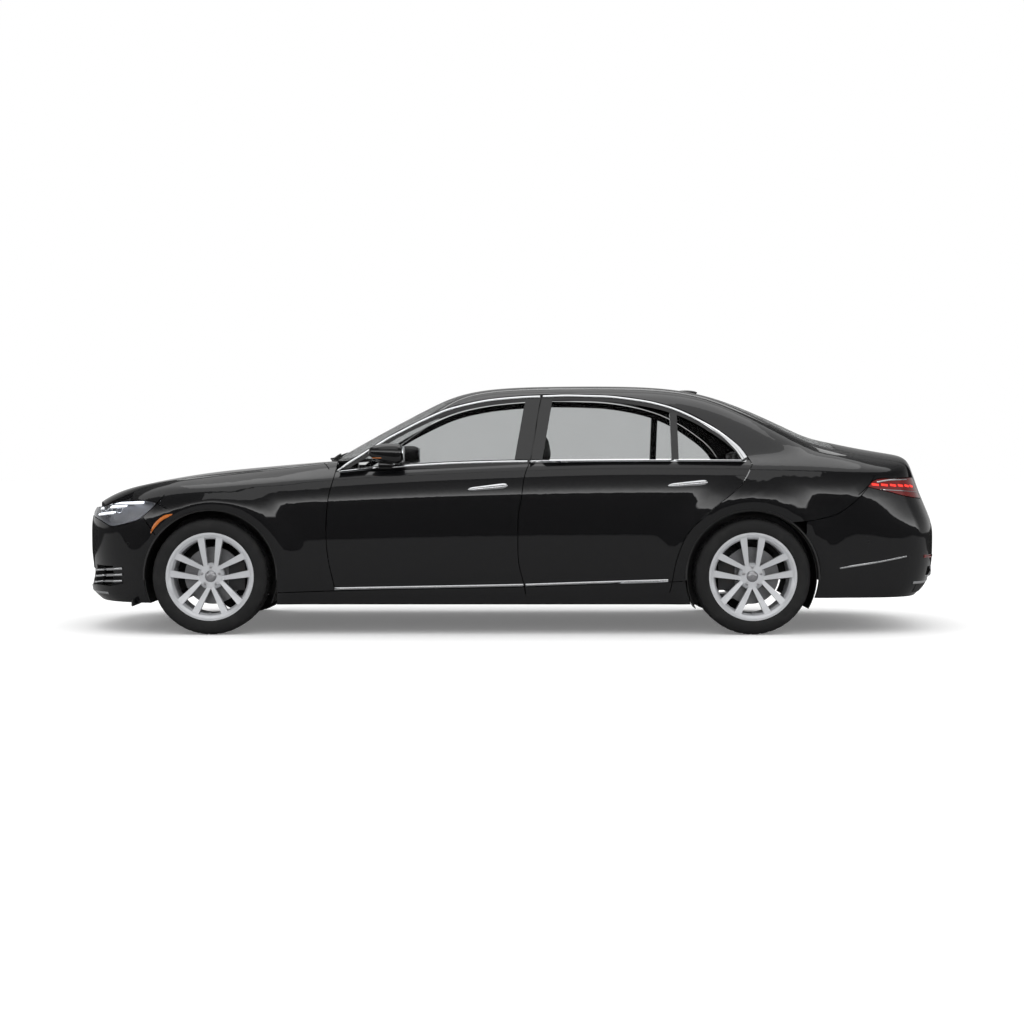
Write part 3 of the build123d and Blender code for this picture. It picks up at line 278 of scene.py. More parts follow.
def window_glass(colours):
    tint = tuple(colours.glass)
    tones = (tint, tuple(part * 0.86 for part in tint))
    return clear_sheet("window_glass", 5.0, 4.0, 0.25, tones, 1.12, tint)


def lamp_lens():
    tones = ((0.97, 0.98, 0.99), (0.9, 0.91, 0.92))
    return clear_sheet("lamp_lens", 12.0, 3.0, 0.2, tones, 1.1, (0.95, 0.95, 0.95))


def red_lens():
    f = Finish("red_lens")
    ribs = (f.axis("Y") * 900.0).wave()
    cloud = f.noise(18.0, 3.0)
    return f.worn(
        Base_Color=f.blend(cloud, (0.17, 0.006, 0.005), (0.1, 0.003, 0.003)),
        Roughness=0.1 + cloud * 0.05,
        Coat_Weight=1.0, Coat_Roughness=0.02, Normal=f.bump(ribs, 0.08, 0.0003))


def glow(name, colour, strength, dim):
    f = Finish(name)
    cloud = f.cells(240.0)
    tone = f.blend(cloud, colour, dim)
    return f.worn(Base_Color=tone, Emission_Color=tone, Emission_Strength=strength, Roughness=0.2)


def leather(colours):
    f = Finish("leather")
    creases = f.cells(260.0, "DISTANCE_TO_EDGE")
    pores = f.noise(900.0, 2.0)
    wear = f.noise(7.0, 5.0)
    base = tuple(colours.hide)
    grain = creases.smaller(0.12) * 6.0 + pores * 0.25
    return f.worn(
        Base_Color=f.blend(wear * 0.7, base, tuple(part * 1.8 for part in base)),
        Roughness=0.42 + wear * 0.16,
        Normal=f.bump(grain, 0.32, 0.0006))


def carpet():
    f = Finish("carpet")
    tufts = f.noise(1100.0, 3.0)
    patch = f.noise(11.0, 4.0)
    return f.worn(
        Base_Color=f.blend(tufts * 0.6 + patch * 0.4, (0.008, 0.008, 0.008), (0.03, 0.03, 0.031)),
        Roughness=0.95,
        Normal=f.bump(tufts, 0.8, 0.002))


def dark_iron():
    f = Finish("dark_iron")
    cast = f.noise(240.0, 5.0)
    rust = f.noise(18.0, 5.0)
    return f.worn(
        Base_Color=f.blend((rust - 0.5).larger(0.0) * 1.2, (0.06, 0.06, 0.062),
                           (0.09, 0.06, 0.045)), Metallic=0.7,
        Roughness=0.5 + cast * 0.2, Normal=f.bump(cast, 0.4, 0.0008))


def varied(name, sources, tones, rough, bump=None, **extra):
    """A finish whose colour, roughness and relief follow the numbered noises and cells in sources.

    tones: a source and the two colours that it blends. rough: a number, or a base with a source
    and its share. bump: a source with a strength and a distance."""
    f = Finish(name)
    made = [getattr(f, kind)(*settings) for kind, *settings in sources]
    chosen, first, second = tones
    if isinstance(rough, tuple):
        base, by, share = rough
        rough = base + made[by] * share
    if bump:
        extra["Normal"] = f.bump(made[bump[0]], *bump[1:])
    return f.worn(Base_Color=f.blend(made[chosen], first, second), Roughness=rough, **extra)


VARIED = dict(
    chrome=dict(
        name="chrome", sources=[("noise", 22.0, 3.0)],
        tones=(0, (0.74, 0.75, 0.77), (0.82, 0.83, 0.84)), rough=(0.06, 0, 0.07), Metallic=1.0),
    satin=dict(
        name="satin_metal", sources=[("noise", 60.0, 3.0, 0.5, (1.0, 8.0, 8.0))],
        tones=(0, (0.5, 0.5, 0.52), (0.62, 0.62, 0.64)), rough=(0.24, 0, 0.14),
        bump=(0, 0.1, 0.0003), Metallic=1.0),
    barrel=dict(
        name="barrel_alloy", sources=[("noise", 30.0, 4.0)],
        tones=(0, (0.16, 0.16, 0.17), (0.26, 0.26, 0.27)), rough=(0.4, 0, 0.15), Metallic=0.6),
    plastic=dict(
        name="black_plastic", sources=[("cells", 650.0), ("noise", 9.0, 4.0)],
        tones=(1, (0.011, 0.011, 0.011), (0.0187, 0.0187, 0.0187)), rough=(0.5, 1, 0.12),
        bump=(0, 0.25, 0.0004)),
    seal=dict(
        name="door_seal", sources=[("cells", 900.0), ("noise", 9.0, 4.0)],
        tones=(1, (0.006, 0.006, 0.006), (0.0102, 0.0102, 0.0102)), rough=(0.62, 1, 0.12),
        bump=(0, 0.1, 0.0004)),
    gloss=dict(
        name="gloss_black", sources=[("noise", 30.0, 3.0)],
        tones=(0, (0.004, 0.004, 0.0042), (0.008, 0.008, 0.0085)), rough=(0.08, 0, 0.05),
        Coat_Weight=0.4, Coat_Roughness=0.02),
    amber=dict(
        name="amber_lens", sources=[("cells", 260.0)],
        tones=(0, (0.55, 0.16, 0.015), (0.35, 0.08, 0.008)), rough=0.14, bump=(0, 0.2, 0.0006),
        Coat_Weight=1.0, Coat_Roughness=0.02),
    brake=dict(
        name="brake_steel", sources=[("noise", 30.0, 4.0, 0.5, (1.0, 14.0, 1.0))],
        tones=(0, (0.22, 0.22, 0.225), (0.34, 0.34, 0.35)), rough=(0.33, 0, 0.16),
        bump=(0, 0.15, 0.0003), Metallic=1.0),
    roof=dict(
        name="headlining", sources=[("noise", 1500.0, 2.0), ("noise", 6.0, 3.0)],
        tones=(1, (0.20, 0.195, 0.19), (0.25, 0.245, 0.24)), rough=0.9, bump=(0, 0.3, 0.0008)))


# ------------------------------------------------------------ modelling helpers

def clear_selection():
    if bpy.context.mode != "OBJECT":
        bpy.ops.object.mode_set(mode="OBJECT")
    bpy.ops.object.select_all(action="DESELECT")


def only(piece):
    clear_selection()
    bpy.context.view_layer.objects.active = piece
    piece.select_set(True)
    return piece


def started(name):
    """The primitive that was just added, named."""
    piece = bpy.context.object
    piece.name = name
    piece.data.name = name
    return piece


def laid(name, rows, columns, place):
    """Grid whose points go where place(share along, share across) puts them."""
    clear_selection()
    bpy.ops.mesh.primitive_grid_add(x_subdivisions=columns - 1, y_subdivisions=rows - 1, size=1)
    piece = started(name)
    for index, vertex in enumerate(piece.data.vertices):
        row, column = divmod(index, columns)
        vertex.co = place(column / (columns - 1), row / (rows - 1))
    return piece


def ball_piece(name, segments, radii, place, turn=(0, 0, 0)):
    """Smooth ellipsoid with half as many rings as segments."""
    clear_selection()
    bpy.ops.mesh.primitive_uv_sphere_add(segments=segments, ring_count=segments // 2, radius=1)
    piece = started(name)
    piece.scale, piece.location, piece.rotation_euler = radii, place, turn
    return smoothed(apply_place(piece), 60)


def ring_piece(name, radius, thick, segments, place, turn):
    clear_selection()
    bpy.ops.mesh.primitive_torus_add(major_radius=radius, minor_radius=thick,
                                     major_segments=segments,
                                     minor_segments=8, location=place, rotation=turn)
    return smoothed(apply_place(started(name)), 60)


def apply_place(piece):
    only(piece)
    bpy.ops.object.transform_apply(location=True, rotation=True, scale=True)
    return piece


def modified(piece, kind, **settings):
    """Adds a modifier, sets it and applies it."""
    only(piece)
    modifier = piece.modifiers.new(kind.lower(), kind)
    for name, setting in settings.items():
        setattr(modifier, name, setting)
    bpy.ops.object.modifier_apply(modifier=modifier.name)
    return piece


def rounded(piece, width, segments=2, angle=35.0):
    return modified(piece, "BEVEL", width=width, segments=segments, limit_method="ANGLE",
                    angle_limit=math.radians(angle))


def thickened(piece, thickness, offset=1.0):
    return modified(piece, "SOLIDIFY", thickness=thickness, offset=offset)


def subdivided(piece, levels=2):
    return modified(piece, "SUBSURF", levels=levels, render_levels=levels)


def smoothed(piece, angle=40.0):
    only(piece)
    bpy.ops.object.shade_smooth_by_angle(angle=math.radians(angle))
    return piece


def outward(piece, near=0.00002):
    """Merges doubles and turns all faces outwards."""
    only(piece)
    bpy.ops.object.mode_set(mode="EDIT")
    bpy.ops.mesh.select_all(action="SELECT")
    bpy.ops.mesh.remove_doubles(threshold=near)
    bpy.ops.mesh.normals_make_consistent(inside=False)
    bpy.ops.object.mode_set(mode="OBJECT")
    return piece


def joined(name, pieces):
    clear_selection()
    for piece in pieces:
        piece.select_set(True)
    bpy.context.view_layer.objects.active = pieces[0]
    if len(pieces) > 1:
        bpy.ops.object.join()
    return started(name)


def copied(piece, name):
    """A copy with its own mesh."""
    only(piece)
    bpy.ops.object.duplicate(linked=False)
    return started(name)


def moved(piece, place):
    only(piece)
    bpy.ops.transform.translate(value=place)
    return apply_place(piece)


def flipped(piece):
    """The same shape on the other side of the car's middle."""
    piece.scale = (1, -1, 1)
    return facing_out(apply_place(piece))


def facing_out(piece):
    """Turns the faces outwards without merging any points."""
    mesh = bmesh.new()
    mesh.from_mesh(piece.data)
    bmesh.ops.recalc_face_normals(mesh, faces=mesh.faces)
    mesh.to_mesh(piece.data)
    mesh.free()
    return piece


FINISHES = {}


def finished(piece, body, finish, slot, stands_for=()):
    """Gives a piece its finish and its body, and hides the parts that it stands for."""
    piece.data.materials.clear()
    piece.data.materials.append(FINISHES[finish])
    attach(piece, body)
    if stands_for:
        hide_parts(*stands_for)
    return piece


def box_piece(name, low, high, bevel=0.0, segments=2):
    """Rounded block between two corners."""
    clear_selection()
    middle = [(a + b) / 2 for a, b in zip(low, high)]
    bpy.ops.mesh.primitive_cube_add(size=1, location=middle)
    piece = started(name)
    piece.scale = [b - a for a, b in zip(low, high)]
    apply_place(piece)
    if bevel:
        rounded(piece, bevel, segments)
    return piece


def block(name, low, high, bevel, segments, angle, finish, slot, body="body"):
    """Finished block between two corners."""
    piece = box_piece(name, low, high, bevel, segments)
    if angle:
        smoothed(piece, angle)
    return finished(piece, body, finish, slot)


def tube(name, points, radius, sides=12, closed=False):
    """Round bar along a smooth run of points."""
    clear_selection()
    curve = bpy.data.curves.new(name, "CURVE")
    curve.dimensions = "3D"
    curve.bevel_depth = radius
    curve.bevel_resolution = max(1, sides // 4 - 1)
    curve.use_fill_caps = not closed
    run = curve.splines.new("NURBS")
    run.points.add(len(points) - 1)
    for point, place in zip(run.points, points):
        point.co = (*place, 1)
    run.use_cyclic_u = closed
    run.order_u = 3
    run.use_endpoint_u = not closed
    curve.resolution_u = 6
    piece = bpy.data.objects.new(name, curve)
    bpy.context.scene.collection.objects.link(piece)
    only(piece)
    bpy.ops.object.convert(target="MESH")
    return smoothed(started(name), 50)


def rounded_square(steps, power):
    """Points round a square with round corners, each from -1 to 1, flatter for a smaller power."""
    for step in range(steps):
        angle = 2 * math.pi * step / steps
        u, w = math.cos(angle), math.sin(angle)
        yield math.copysign(abs(u) ** power, u), math.copysign(abs(w) ** power, w)


def surface_of(*nodes):
    """Ray target made from CAD nodes."""
    places, faces = [], []
    for node in nodes:
        mesh = NODES[node].data
        start = len(places)
        places += [v.co.copy() for v in mesh.vertices]
        faces += [[start + i for i in polygon.vertices] for polygon in mesh.polygons]
    return BVHTree.FromPolygons(places, faces)


def on_side(tree, side, x, z, lift=0.0, guess=0.94):
    """Point on the car's side at a station and height, lifted outwards."""
    found, normal, _, _ = tree.ray_cast(Vector((x, side * 1.3, z)), Vector((0, -side, 0)))
    if found is None:
        return Vector((x, side * guess, z)), Vector((0, side, 0))
    if normal.y * side < 0:
        normal = -normal
    return found + normal * lift, normal


def on_way(tree, start, way, lift=0.0):
    found, normal, _, _ = tree.ray_cast(Vector(start), Vector(way).normalized())
    if found is None:
        return None, None
    if normal.dot(Vector(way)) > 0:
        normal = -normal
    return found + normal * lift, normal


def resampled(points, count):
    """Evenly spaced points along a smooth run, as pairs."""
    run = [Vector((*p, 0)) for p in points]
    dense = []
    for i in range(len(run) - 1):
        before = run[max(i - 1, 0)]
        after = run[min(i + 2, len(run) - 1)]
        for step in range(16):
            t = step / 16
            a, b = run[i], run[i + 1]
            bend = 2 * before - 5 * a + 4 * b - after
            twist = 3 * a - before - 3 * b + after
            dense.append(0.5 * (2 * a + (b - before) * t + bend * t * t + twist * t ** 3))
    dense.append(run[-1])
    lengths = [0.0]
    for a, b in zip(dense, dense[1:]):
        lengths.append(lengths[-1] + (b - a).length)
    result = []
    index = 0
    for step in range(count):
        want = lengths[-1] * step / (count - 1)
        while index < len(lengths) - 2 and lengths[index + 1] < want:
            index += 1
        span = lengths[index + 1] - lengths[index]
        share = (want - lengths[index]) / span if span else 0.0
        result.append(dense[index].lerp(dense[index + 1], share))
    return [(p.x, p.y) for p in result]


def side_strip(name, tree, side, points, width, height=0.004, count=40, cells=4, crown=0.0):
    """Strip along (station, height) points on the car's side, crowned across its width.

    The width is a number or a function of the share of the way along."""
    middle = resampled(points, count)

    def place(u, v):
        column = round(u * (count - 1))
        x, z = middle[column]
        before = middle[max(column - 1, 0)]
        after = middle[min(column + 1, count - 1)]
        run = Vector((after[0] - before[0], after[1] - before[1])).normalized()
        across = v - 0.5
        wide = width(u) if callable(width) else width
        found, normal = on_side(tree, side, x - run.y * wide * across, z + run.x * wide * across)
        return found + normal * (height * (1 - (2 * across) ** 2 * crown))

    return strip_solid(laid(name, cells + 1, count, place), 0.004)


def strip_solid(piece, depth):
    """Gives a laid strip its sides, down into the surface that it lies on."""
    thickened(facing_out(piece), depth, -1.0)
    return smoothed(outward(piece), 50)


def sheet_solid(piece, depth, angle=50):
    """Gives a sheet its thickness, half to each side."""
    thickened(piece, depth, 0.0)
    return smoothed(outward(piece), angle)


# ------------------------------------------------------------ outlines, in metres

TRIM_FRONT = ((-1.024, 0.974), (-0.976, 1.012), (-0.891, 1.066), (-0.806, 1.120), (-0.733, 1.166),
              (-0.649, 1.211),
              (-0.566, 1.255), (-0.481, 1.296), (-0.396, 1.333), (-0.311, 1.358), (-0.226, 1.378),
              (-0.141, 1.394),
              (-0.056, 1.404), (0.040, 1.412), (0.112, 1.4165), (0.174, 1.4185))
TRIM_REAR = ((0.192, 1.419), (0.240, 1.421), (0.334, 1.424), (0.474, 1.421), (0.614, 1.415),
             (0.799, 1.390),
             (0.893, 1.369), (0.984, 1.341), (1.076, 1.300), (1.172, 1.248), (1.262, 1.187),
             (1.340, 1.118),
             (1.372, 1.077), (1.391, 1.045))
BELT_FRONT = ((-1.020, 0.965), (-0.868, 0.981), (-0.660, 0.998), (-0.500, 1.008), (-0.330, 1.017),
              (-0.070, 1.025),
              (0.096, 1.027))
BELT_REAR = ((0.112, 1.027), (0.340, 1.029), (0.780, 1.032), (1.200, 1.032), (1.396, 1.031))
SILL_FRONT = ((-1.046, 0.2725), (-0.783, 0.278), (-0.300, 0.287), (0.072, 0.2945))
SILL_REAR = ((0.086, 0.295), (0.340, 0.304), (0.600, 0.3125), (0.930, 0.3225))
HANDLES = {"front": ((-0.257, 0.861), (-0.020, 0.885)), "rear": ((0.925, 0.884), (1.163, 0.905))}


def door_of(end, side_name):
    return f"{end}_door_{side_name}"


# ------------------------------------------------------------ studio

CAMERA_PLACE = (0.005, -11.955, 1.03)
CAMERA_LENS, CAMERA_SENSOR = 65.4, 36.0     # in millimetres
CAMERA_SHIFT = -0.0498
STUDIO_SIZE = 200
FLOOR_SIZE = 160
WALL_RADIUS = 16.0
WALL_HEIGHT = 16.0
DARK_TO_NEAR = 1.9          # the wall's dark foot on the camera's side, in metres
DARK_TO_FAR = 0.5
DARK_TONE = 0.012           # how bright the dark parts of the studio are in reflections
FADE = 8.0                  # height over which the wall's light fades
EDGE_LIGHT = 3.2            # strength of the bright edge that draws the shoulder's highlight
ROOM_LIGHT = 1.02
FLOOR_LIFT = 0.16           # light added to the floor where the camera sees it
FLOOR_BRIGHT = 3.6          # the floor shows white in reflections out to here
LAMP_AIM = Vector((0, 0, 0.6))
LAMPS = (("overhead", (0, 0, 7.0), (9, 4), 110), ("near_side", (0, -9, 6.5), (10, 3), 80),
         ("far_side", (0, 9, 6.5), (10, 3), 80))


# ------------------------------------------------------------ operators

class SEDAN_OT_finishes(bpy.types.Operator):
    """Makes every finish once and puts the right one on each CAD part"""
    bl_idname = "sedan.finishes"
    bl_label = "Finishes"

    def execute(self, context):
        colours = context.scene.sedan_colours
        FINISHES.update(
            paint=black_paint(colours), alloy=wheel_alloy(colours), rubber=tyre_rubber(),
            glass=window_glass(colours), lens=lamp_lens(), red=red_lens(),
            daylight=glow("daylight", (0.95, 0.97, 1.0), 1.6, (0.8, 0.85, 0.95)),
            tail_glow=glow("tail_glow", (1.0, 0.05, 0.03), 1.2, (0.7, 0.01, 0.01)),
            leather=leather(colours), carpet=carpet(), iron=dark_iron(),
            **{key: varied(**row) for key, row in VARIED.items()})
        worn = {"paint": "paint", "glass": "glass", "gloss_black": "gloss", "chrome": "chrome",
                "lamp": "lens",
                "tail_lamp": "red", "rubber": "rubber", "alloy": "alloy", "iron": "iron",
                "underbody": "plastic",
                "trim": "plastic", "leather": "leather"}
        slots = {row["node"]: row["material_slot"] for row in frame["record"]["subparts"]}
        for name, node in NODES.items():
            node.data.materials.clear()
            node.data.materials.append(FINISHES[worn[slots[name]]])
        return {"FINISHED"}


class SEDAN_OT_stage(bpy.types.Operator):
    """Adds the floor, the soft studio lights and the camera"""
    bl_idname = "sedan.stage"
    bl_label = "Studio"

    def execute(self, context):
        self.floor()
        self.wall()
        self.lights(context)
        self.camera(context)
        return {"FINISHED"}

    def floor(self):
        clear_selection()
        bpy.ops.mesh.primitive_plane_add(size=FLOOR_SIZE, location=(0, 0, FLOOR_Z))
        floor = apply_place(started("studio_floor"))
        floor.data.materials.append(studio_floor())

    def wall(self):
        """Dark wall, seen only in reflections, that keeps the sides of the body black."""
        clear_selection()
        bpy.ops.mesh.primitive_cylinder_add(
            vertices=96, radius=WALL_RADIUS, depth=WALL_HEIGHT, end_fill_type="NOTHING",
            location=(0, 0, FLOOR_Z + WALL_HEIGHT / 2 - 0.2))
        wall = apply_place(started("studio_wall"))
        wall.data.materials.append(studio_wall())
        for ray in ("camera", "diffuse", "transmission", "shadow"):
            setattr(wall, f"visible_{ray}", False)

    def lights(self, context):
        f = Finish("studio", bpy.data.worlds)
        context.scene.world = f.owner
        path = f.node("ShaderNodeLightPath")
        seen = path["Is Camera Ray"]
        for ray in ("Is Glossy Ray", "Is Transmission Ray"):
            seen = seen.larger(path[ray])
        room, white = (f.node("ShaderNodeBackground", None, {"Color": (1, 1, 1), "Strength": light})
                       ["Background"] for light in (ROOM_LIGHT, 1.0))
        f.node("ShaderNodeOutputWorld", None, {"Surface": f.mixed(seen, room, white)})
        for name, place, size, power in LAMPS:
            lamp = bpy.data.lights.new(name, "AREA")
            lamp.shape = "RECTANGLE"
            lamp.size, lamp.size_y = size
            lamp.energy = power
            holder = bpy.data.objects.new(name, lamp)
            context.scene.collection.objects.link(holder)
            holder.location = place
            holder.rotation_euler = (LAMP_AIM - Vector(place)).to_track_quat("-Z", "Y").to_euler()

    def camera(self, context):
        lens = bpy.data.cameras.new("camera")
        lens.lens, lens.sensor_width, lens.shift_y = CAMERA_LENS, CAMERA_SENSOR, CAMERA_SHIFT
        lens.clip_end = STUDIO_SIZE
        camera = bpy.data.objects.new("camera", lens)
        context.scene.collection.objects.link(camera)
        camera.location = CAMERA_PLACE
        camera.rotation_euler = (math.radians(90), 0, 0)
        context.scene.camera = camera
        context.scene.view_settings.view_transform = "Standard"


def studio_floor():
    """White where lit, grey where the car shades it, and dark far out in reflections."""
    f = Finish("studio_floor")
    speck = f.noise(40.0, 3.0)
    shaded = f.node("ShaderNodeBsdfDiffuse", None,
                    {"Color": f.blend(speck * 0.2, (0.93, 0.93, 0.93), (0.9, 0.9, 0.9))})["BSDF"]
    path = f.node("ShaderNodeLightPath")
    added = f.node("ShaderNodeAddShader", None, {0: shaded, 1: f.glowing(FLOOR_LIFT)})["Shader"]
    bright = f.mixed(path["Is Camera Ray"].larger(path["Is Transmission Ray"]), shaded, added)
    far = ((f.axis("Y").size() - FLOOR_BRIGHT) * 1.4).larger(0.74).smaller(1.0)
    return f.shown(f.mixed(path["Is Glossy Ray"] * far, bright, f.glowing(DARK_TONE)))


def studio_wall():
    """Dark foot, lower on the far side, with a bright edge above it that fades upwards."""
    f = Finish("studio_wall")
    place = f.node("ShaderNodeSeparateXYZ", None, {"Vector": f.place()})
    near = (place["Y"] * -0.35 + 0.5).larger(0.0).smaller(1.0)
    foot = near * (DARK_TO_NEAR - DARK_TO_FAR) + DARK_TO_FAR
    over = ((place["Z"] - foot) * 6.0).larger(0.0).smaller(1.0)
    fade = 1.0 - ((place["Z"] - foot) * (1 / FADE)).larger(0.0).smaller(1.0)
    edge = fade ** 6.0 * near * EDGE_LIGHT
    tone = over * (edge + fade * fade * 0.4 + 0.06) + DARK_TONE
    return f.shown(f.glowing(tone))


class SEDAN_OT_window_trim(bpy.types.Operator):
    """Lays the bright strips round the side windows and along the foot of the doors"""
    bl_idname = "sedan.window_trim"
    bl_label = "Window and sill trim"

    def execute(self, context):
        sizes = context.scene.sedan_sizes
        runs = {
            "front": (("top", TRIM_FRONT, sizes.trim_width), ("belt", BELT_FRONT, sizes.belt_width),
                      ("sill", SILL_FRONT, sizes.sill_width)),
            "rear": (("top", TRIM_REAR, sizes.trim_width), ("belt", BELT_REAR, sizes.belt_width),
                     ("sill", SILL_REAR, sizes.sill_width))}
        for side_name, side in SIDES:
            for end in ENDS:
                door = door_of(end, side_name)
                tree = surface_of(door)
                for place, points, width in runs[end]:
                    if place == "top" and end == "rear":
                        width = self.flared(width)
                    strip = side_strip(f"{place}_trim_{end}_{side_name}", tree, side, points, width,
                                       0.0045, 90 if place == "top" else 40, 6, 0.7)
                    finished(strip, door, "chrome", "chrome")
            self.pillar_covers(side_name, side)
        return {"FINISHED"}

    def flared(self, width):
        """Width of the rear strip, which opens into a bright corner behind the small window."""
        return lambda share: width * (1 + 1.7 * max(0.0, (share - 0.72) / 0.28) ** 1.4)

    def pillar_covers(self, side_name, side):
        """Gloss black covers beside the centre pillar and on the window division."""
        covers = (("front", (0.083, 0.149), (0.067, 0.131), 0.088),
                  ("rear", (0.147, 0.213), (0.152, 0.217), 0.066),
                  ("rear_division", (0.975, 0.975), (0.975, 0.975), 0.042))
        low_z = 1.040
        for name, probes, middles, width in covers:
            door = door_of(name.split("_")[0], side_name)
            tree = surface_of(door)
            high_z = 1.322 if name == "rear_division" else 1.402

            def place(u, v):
                z = low_z + (high_z - low_z) * u
                across = v - 0.5
                found, _ = on_side(tree, side, probes[0] + (probes[1] - probes[0]) * u, z)
                return (middles[0] + (middles[1] - middles[0]) * u + across * width,
                        found.y + side * (0.003 - 0.004 * across * across), z)

            cover = strip_solid(laid(f"pillar_cover_{name}_{side_name}", 5, 25, place), 0.003)
            finished(cover, door, "gloss", "gloss_black")


class SEDAN_OT_handles(bpy.types.Operator):
    """Sets a flush bright handle in each door"""
    bl_idname = "sedan.handles"
    bl_label = "Door handles"

    def execute(self, context):
        for side_name, side in SIDES:
            for end in ENDS:
                door = door_of(end, side_name)
                self.handle(door, side, HANDLES[end])
        return {"FINISHED"}

    def handle(self, door, side, ends):
        tree = surface_of(door)
        (x0, z0), (x1, z1) = ends

        def place(u, v):
            v = v * 2 - 1
            half = 0.0115 + 0.0055 * u
            cap = math.sqrt(max(0.0, 1 - abs(2 * u - 1) ** 8))
            found, normal = on_side(tree, side, x0 + (x1 - x0) * u,
                                    z0 + (z1 - z0) * u + v * half * cap)
            return found + normal * (0.003 + 0.009 * (1 - v ** 4) * cap ** 0.5)

        finished(strip_solid(laid(f"handle_{door}", 9, 33, place), 0.006), door, "chrome", "chrome")


# level rays that meet the nose or the tail start from these stations on the car's middle line
NOSE_CENTRE_X = -1.95
TAIL_CENTRE_X = 1.65


def skin_of(node, name, centre_x, outer=True, least=0.55):
    """The outer sheet of a lamp, or everything but that sheet."""
    clear_selection()
    mesh = NODES[node].data.copy()
    piece = bpy.data.objects.new(name, mesh)
    bpy.context.scene.collection.objects.link(piece)
    mesh.materials.clear()
    work = bmesh.new()
    work.from_mesh(mesh)
    bmesh.ops.remove_doubles(work, verts=work.verts, dist=0.00002)
    bmesh.ops.dissolve_degenerate(work, edges=work.edges, dist=0.00001)
    drop = []
    for face in work.faces:
        middle = face.calc_center_median()
        away = Vector((middle.x - centre_x, middle.y, 0)).normalized()
        faces_out = face.normal.dot(away) > least
        if faces_out != outer:
            drop.append(face)
    bmesh.ops.delete(work, geom=drop, context="FACES")
    work.to_mesh(mesh)
    work.free()
    return only(piece)


def level_ray(tree, centre_x, front, angle, z, inset):
    """Point behind a lamp's lens, on a level ray from the middle of the car."""
    way = Vector((front * math.cos(angle), math.sin(angle), 0))
    start = Vector((centre_x, 0, z)) + way * 2.0
    found, _, _, _ = tree.ray_cast(start, -way)
    return None if found is None else found - way * inset


def lamp_bar(name, tree, centre_x, front, a0, a1, z0, z1, height, inset, depth=0.006, columns=28):
    """Light bar that follows the lens from one angle and height to another."""
    last = Vector((0, 0, 0))

    def place(u, v):
        nonlocal last
        angle = math.radians(a0 + (a1 - a0) * u)
        z = z0 + (z1 - z0) * u + (v - 0.5) * height
        last = level_ray(tree, centre_x, front, angle, z, inset) or last
        return last

    return sheet_solid(laid(name, 3, columns, place), depth, 40)


class SEDAN_OT_front_lamps(bpy.types.Operator):
    """Builds the headlamps: clear lenses over dark housings, light bars and projectors"""
    bl_idname = "sedan.front_lamps"
    bl_label = "Headlamps"

    def execute(self, context):
        lens = skin_of("headlights", "headlamp_lenses", NOSE_CENTRE_X)
        thickened(lens, 0.003, -1.0)
        finished(smoothed(lens, 30), "body", "lens", "lamp", ("headlights",))
        housing = skin_of("headlights", "headlamp_housings", NOSE_CENTRE_X, outer=False)
        finished(housing, "body", "barrel", "alloy")
        tree = surface_of("headlights")
        for side_name, side in SIDES:
            self.bars(tree, side_name, side)
            self.projectors(tree, side_name, side)
        return {"FINISHED"}

    def bars(self, tree, side_name, side):
        rows = (("upper", 46, 74, 0.764, 0.783, 0.011), ("middle", 42, 66, 0.738, 0.762, 0.009),
                ("lower", 40, 60, 0.700, 0.722, 0.009))
        for row, a0, a1, z0, z1, height in rows:
            for part, finish, slot, drop, tall, inset in (
                    ("daylight", "daylight", "lamp", 0, height, 0.030),
                    ("daylight_frame", "chrome", "chrome", 0.009, 0.006, 0.026)):
                bar = lamp_bar(f"{part}_{row}_{side_name}", tree, NOSE_CENTRE_X, -1, side * a0,
                               side * a1, z0 - drop, z1 - drop, tall, inset)
                finished(bar, "body", finish, slot)

    def projectors(self, tree, side_name, side):
        for number, (angle, z) in enumerate(((45, 0.719), (53, 0.728), (61, 0.738))):
            found = level_ray(tree, NOSE_CENTRE_X, -1, math.radians(side * angle), z, 0.052)
            ball = ball_piece(f"projector_{number}_{side_name}", 32, [0.019] * 3, found)
            finished(ball, "body", "lens", "lamp")
            rim = ring_piece(f"projector_ring_{number}_{side_name}", 0.022, 0.0032, 36, found,
                             (0, math.radians(90), side * math.pi - math.radians(side * angle)))
            finished(rim, "body", "chrome", "chrome")


class SEDAN_OT_tail_lamps(bpy.types.Operator):
    """Builds the tail lamps: red lenses, a bright trim strip and lit elements"""
    bl_idname = "sedan.tail_lamps"
    bl_label = "Tail lamps"

    def execute(self, context):
        lens = skin_of("taillights", "tail_lamp_lenses", TAIL_CENTRE_X)
        thickened(lens, 0.02, -1.0)
        finished(smoothed(lens, 30), "body", "red", "tail_lamp", ("taillights",))
        tree = surface_of("taillights")
        for side_name, side in SIDES:
            for number in range(6):
                a0 = 42.5 + number * 3.3
                z0 = 0.876 + number * 0.0022
                glow_bar = lamp_bar(f"tail_element_{number}_{side_name}", tree, TAIL_CENTRE_X, 1,
                                    side * a0,
                                    side * (a0 + 2.3), z0, z0 + 0.005, 0.012, -0.0005, 0.003, 10)
                finished(glow_bar, "body", "tail_glow", "tail_lamp")
            edge = lamp_bar(f"tail_trim_{side_name}", tree, TAIL_CENTRE_X, 1, side * 40, side * 60,
                            0.842, 0.862, 0.004, -0.001, 0.003, 30)
            finished(edge, "body", "chrome", "chrome")
        return {"FINISHED"}


MIRROR_MIDDLE = (-0.735, -0.952, 1.071)
MIRROR_HALF = (0.108, 0.092, 0.066)
MIRROR_FLAT = 0.86          # share of the pod's half length at which its back goes flat


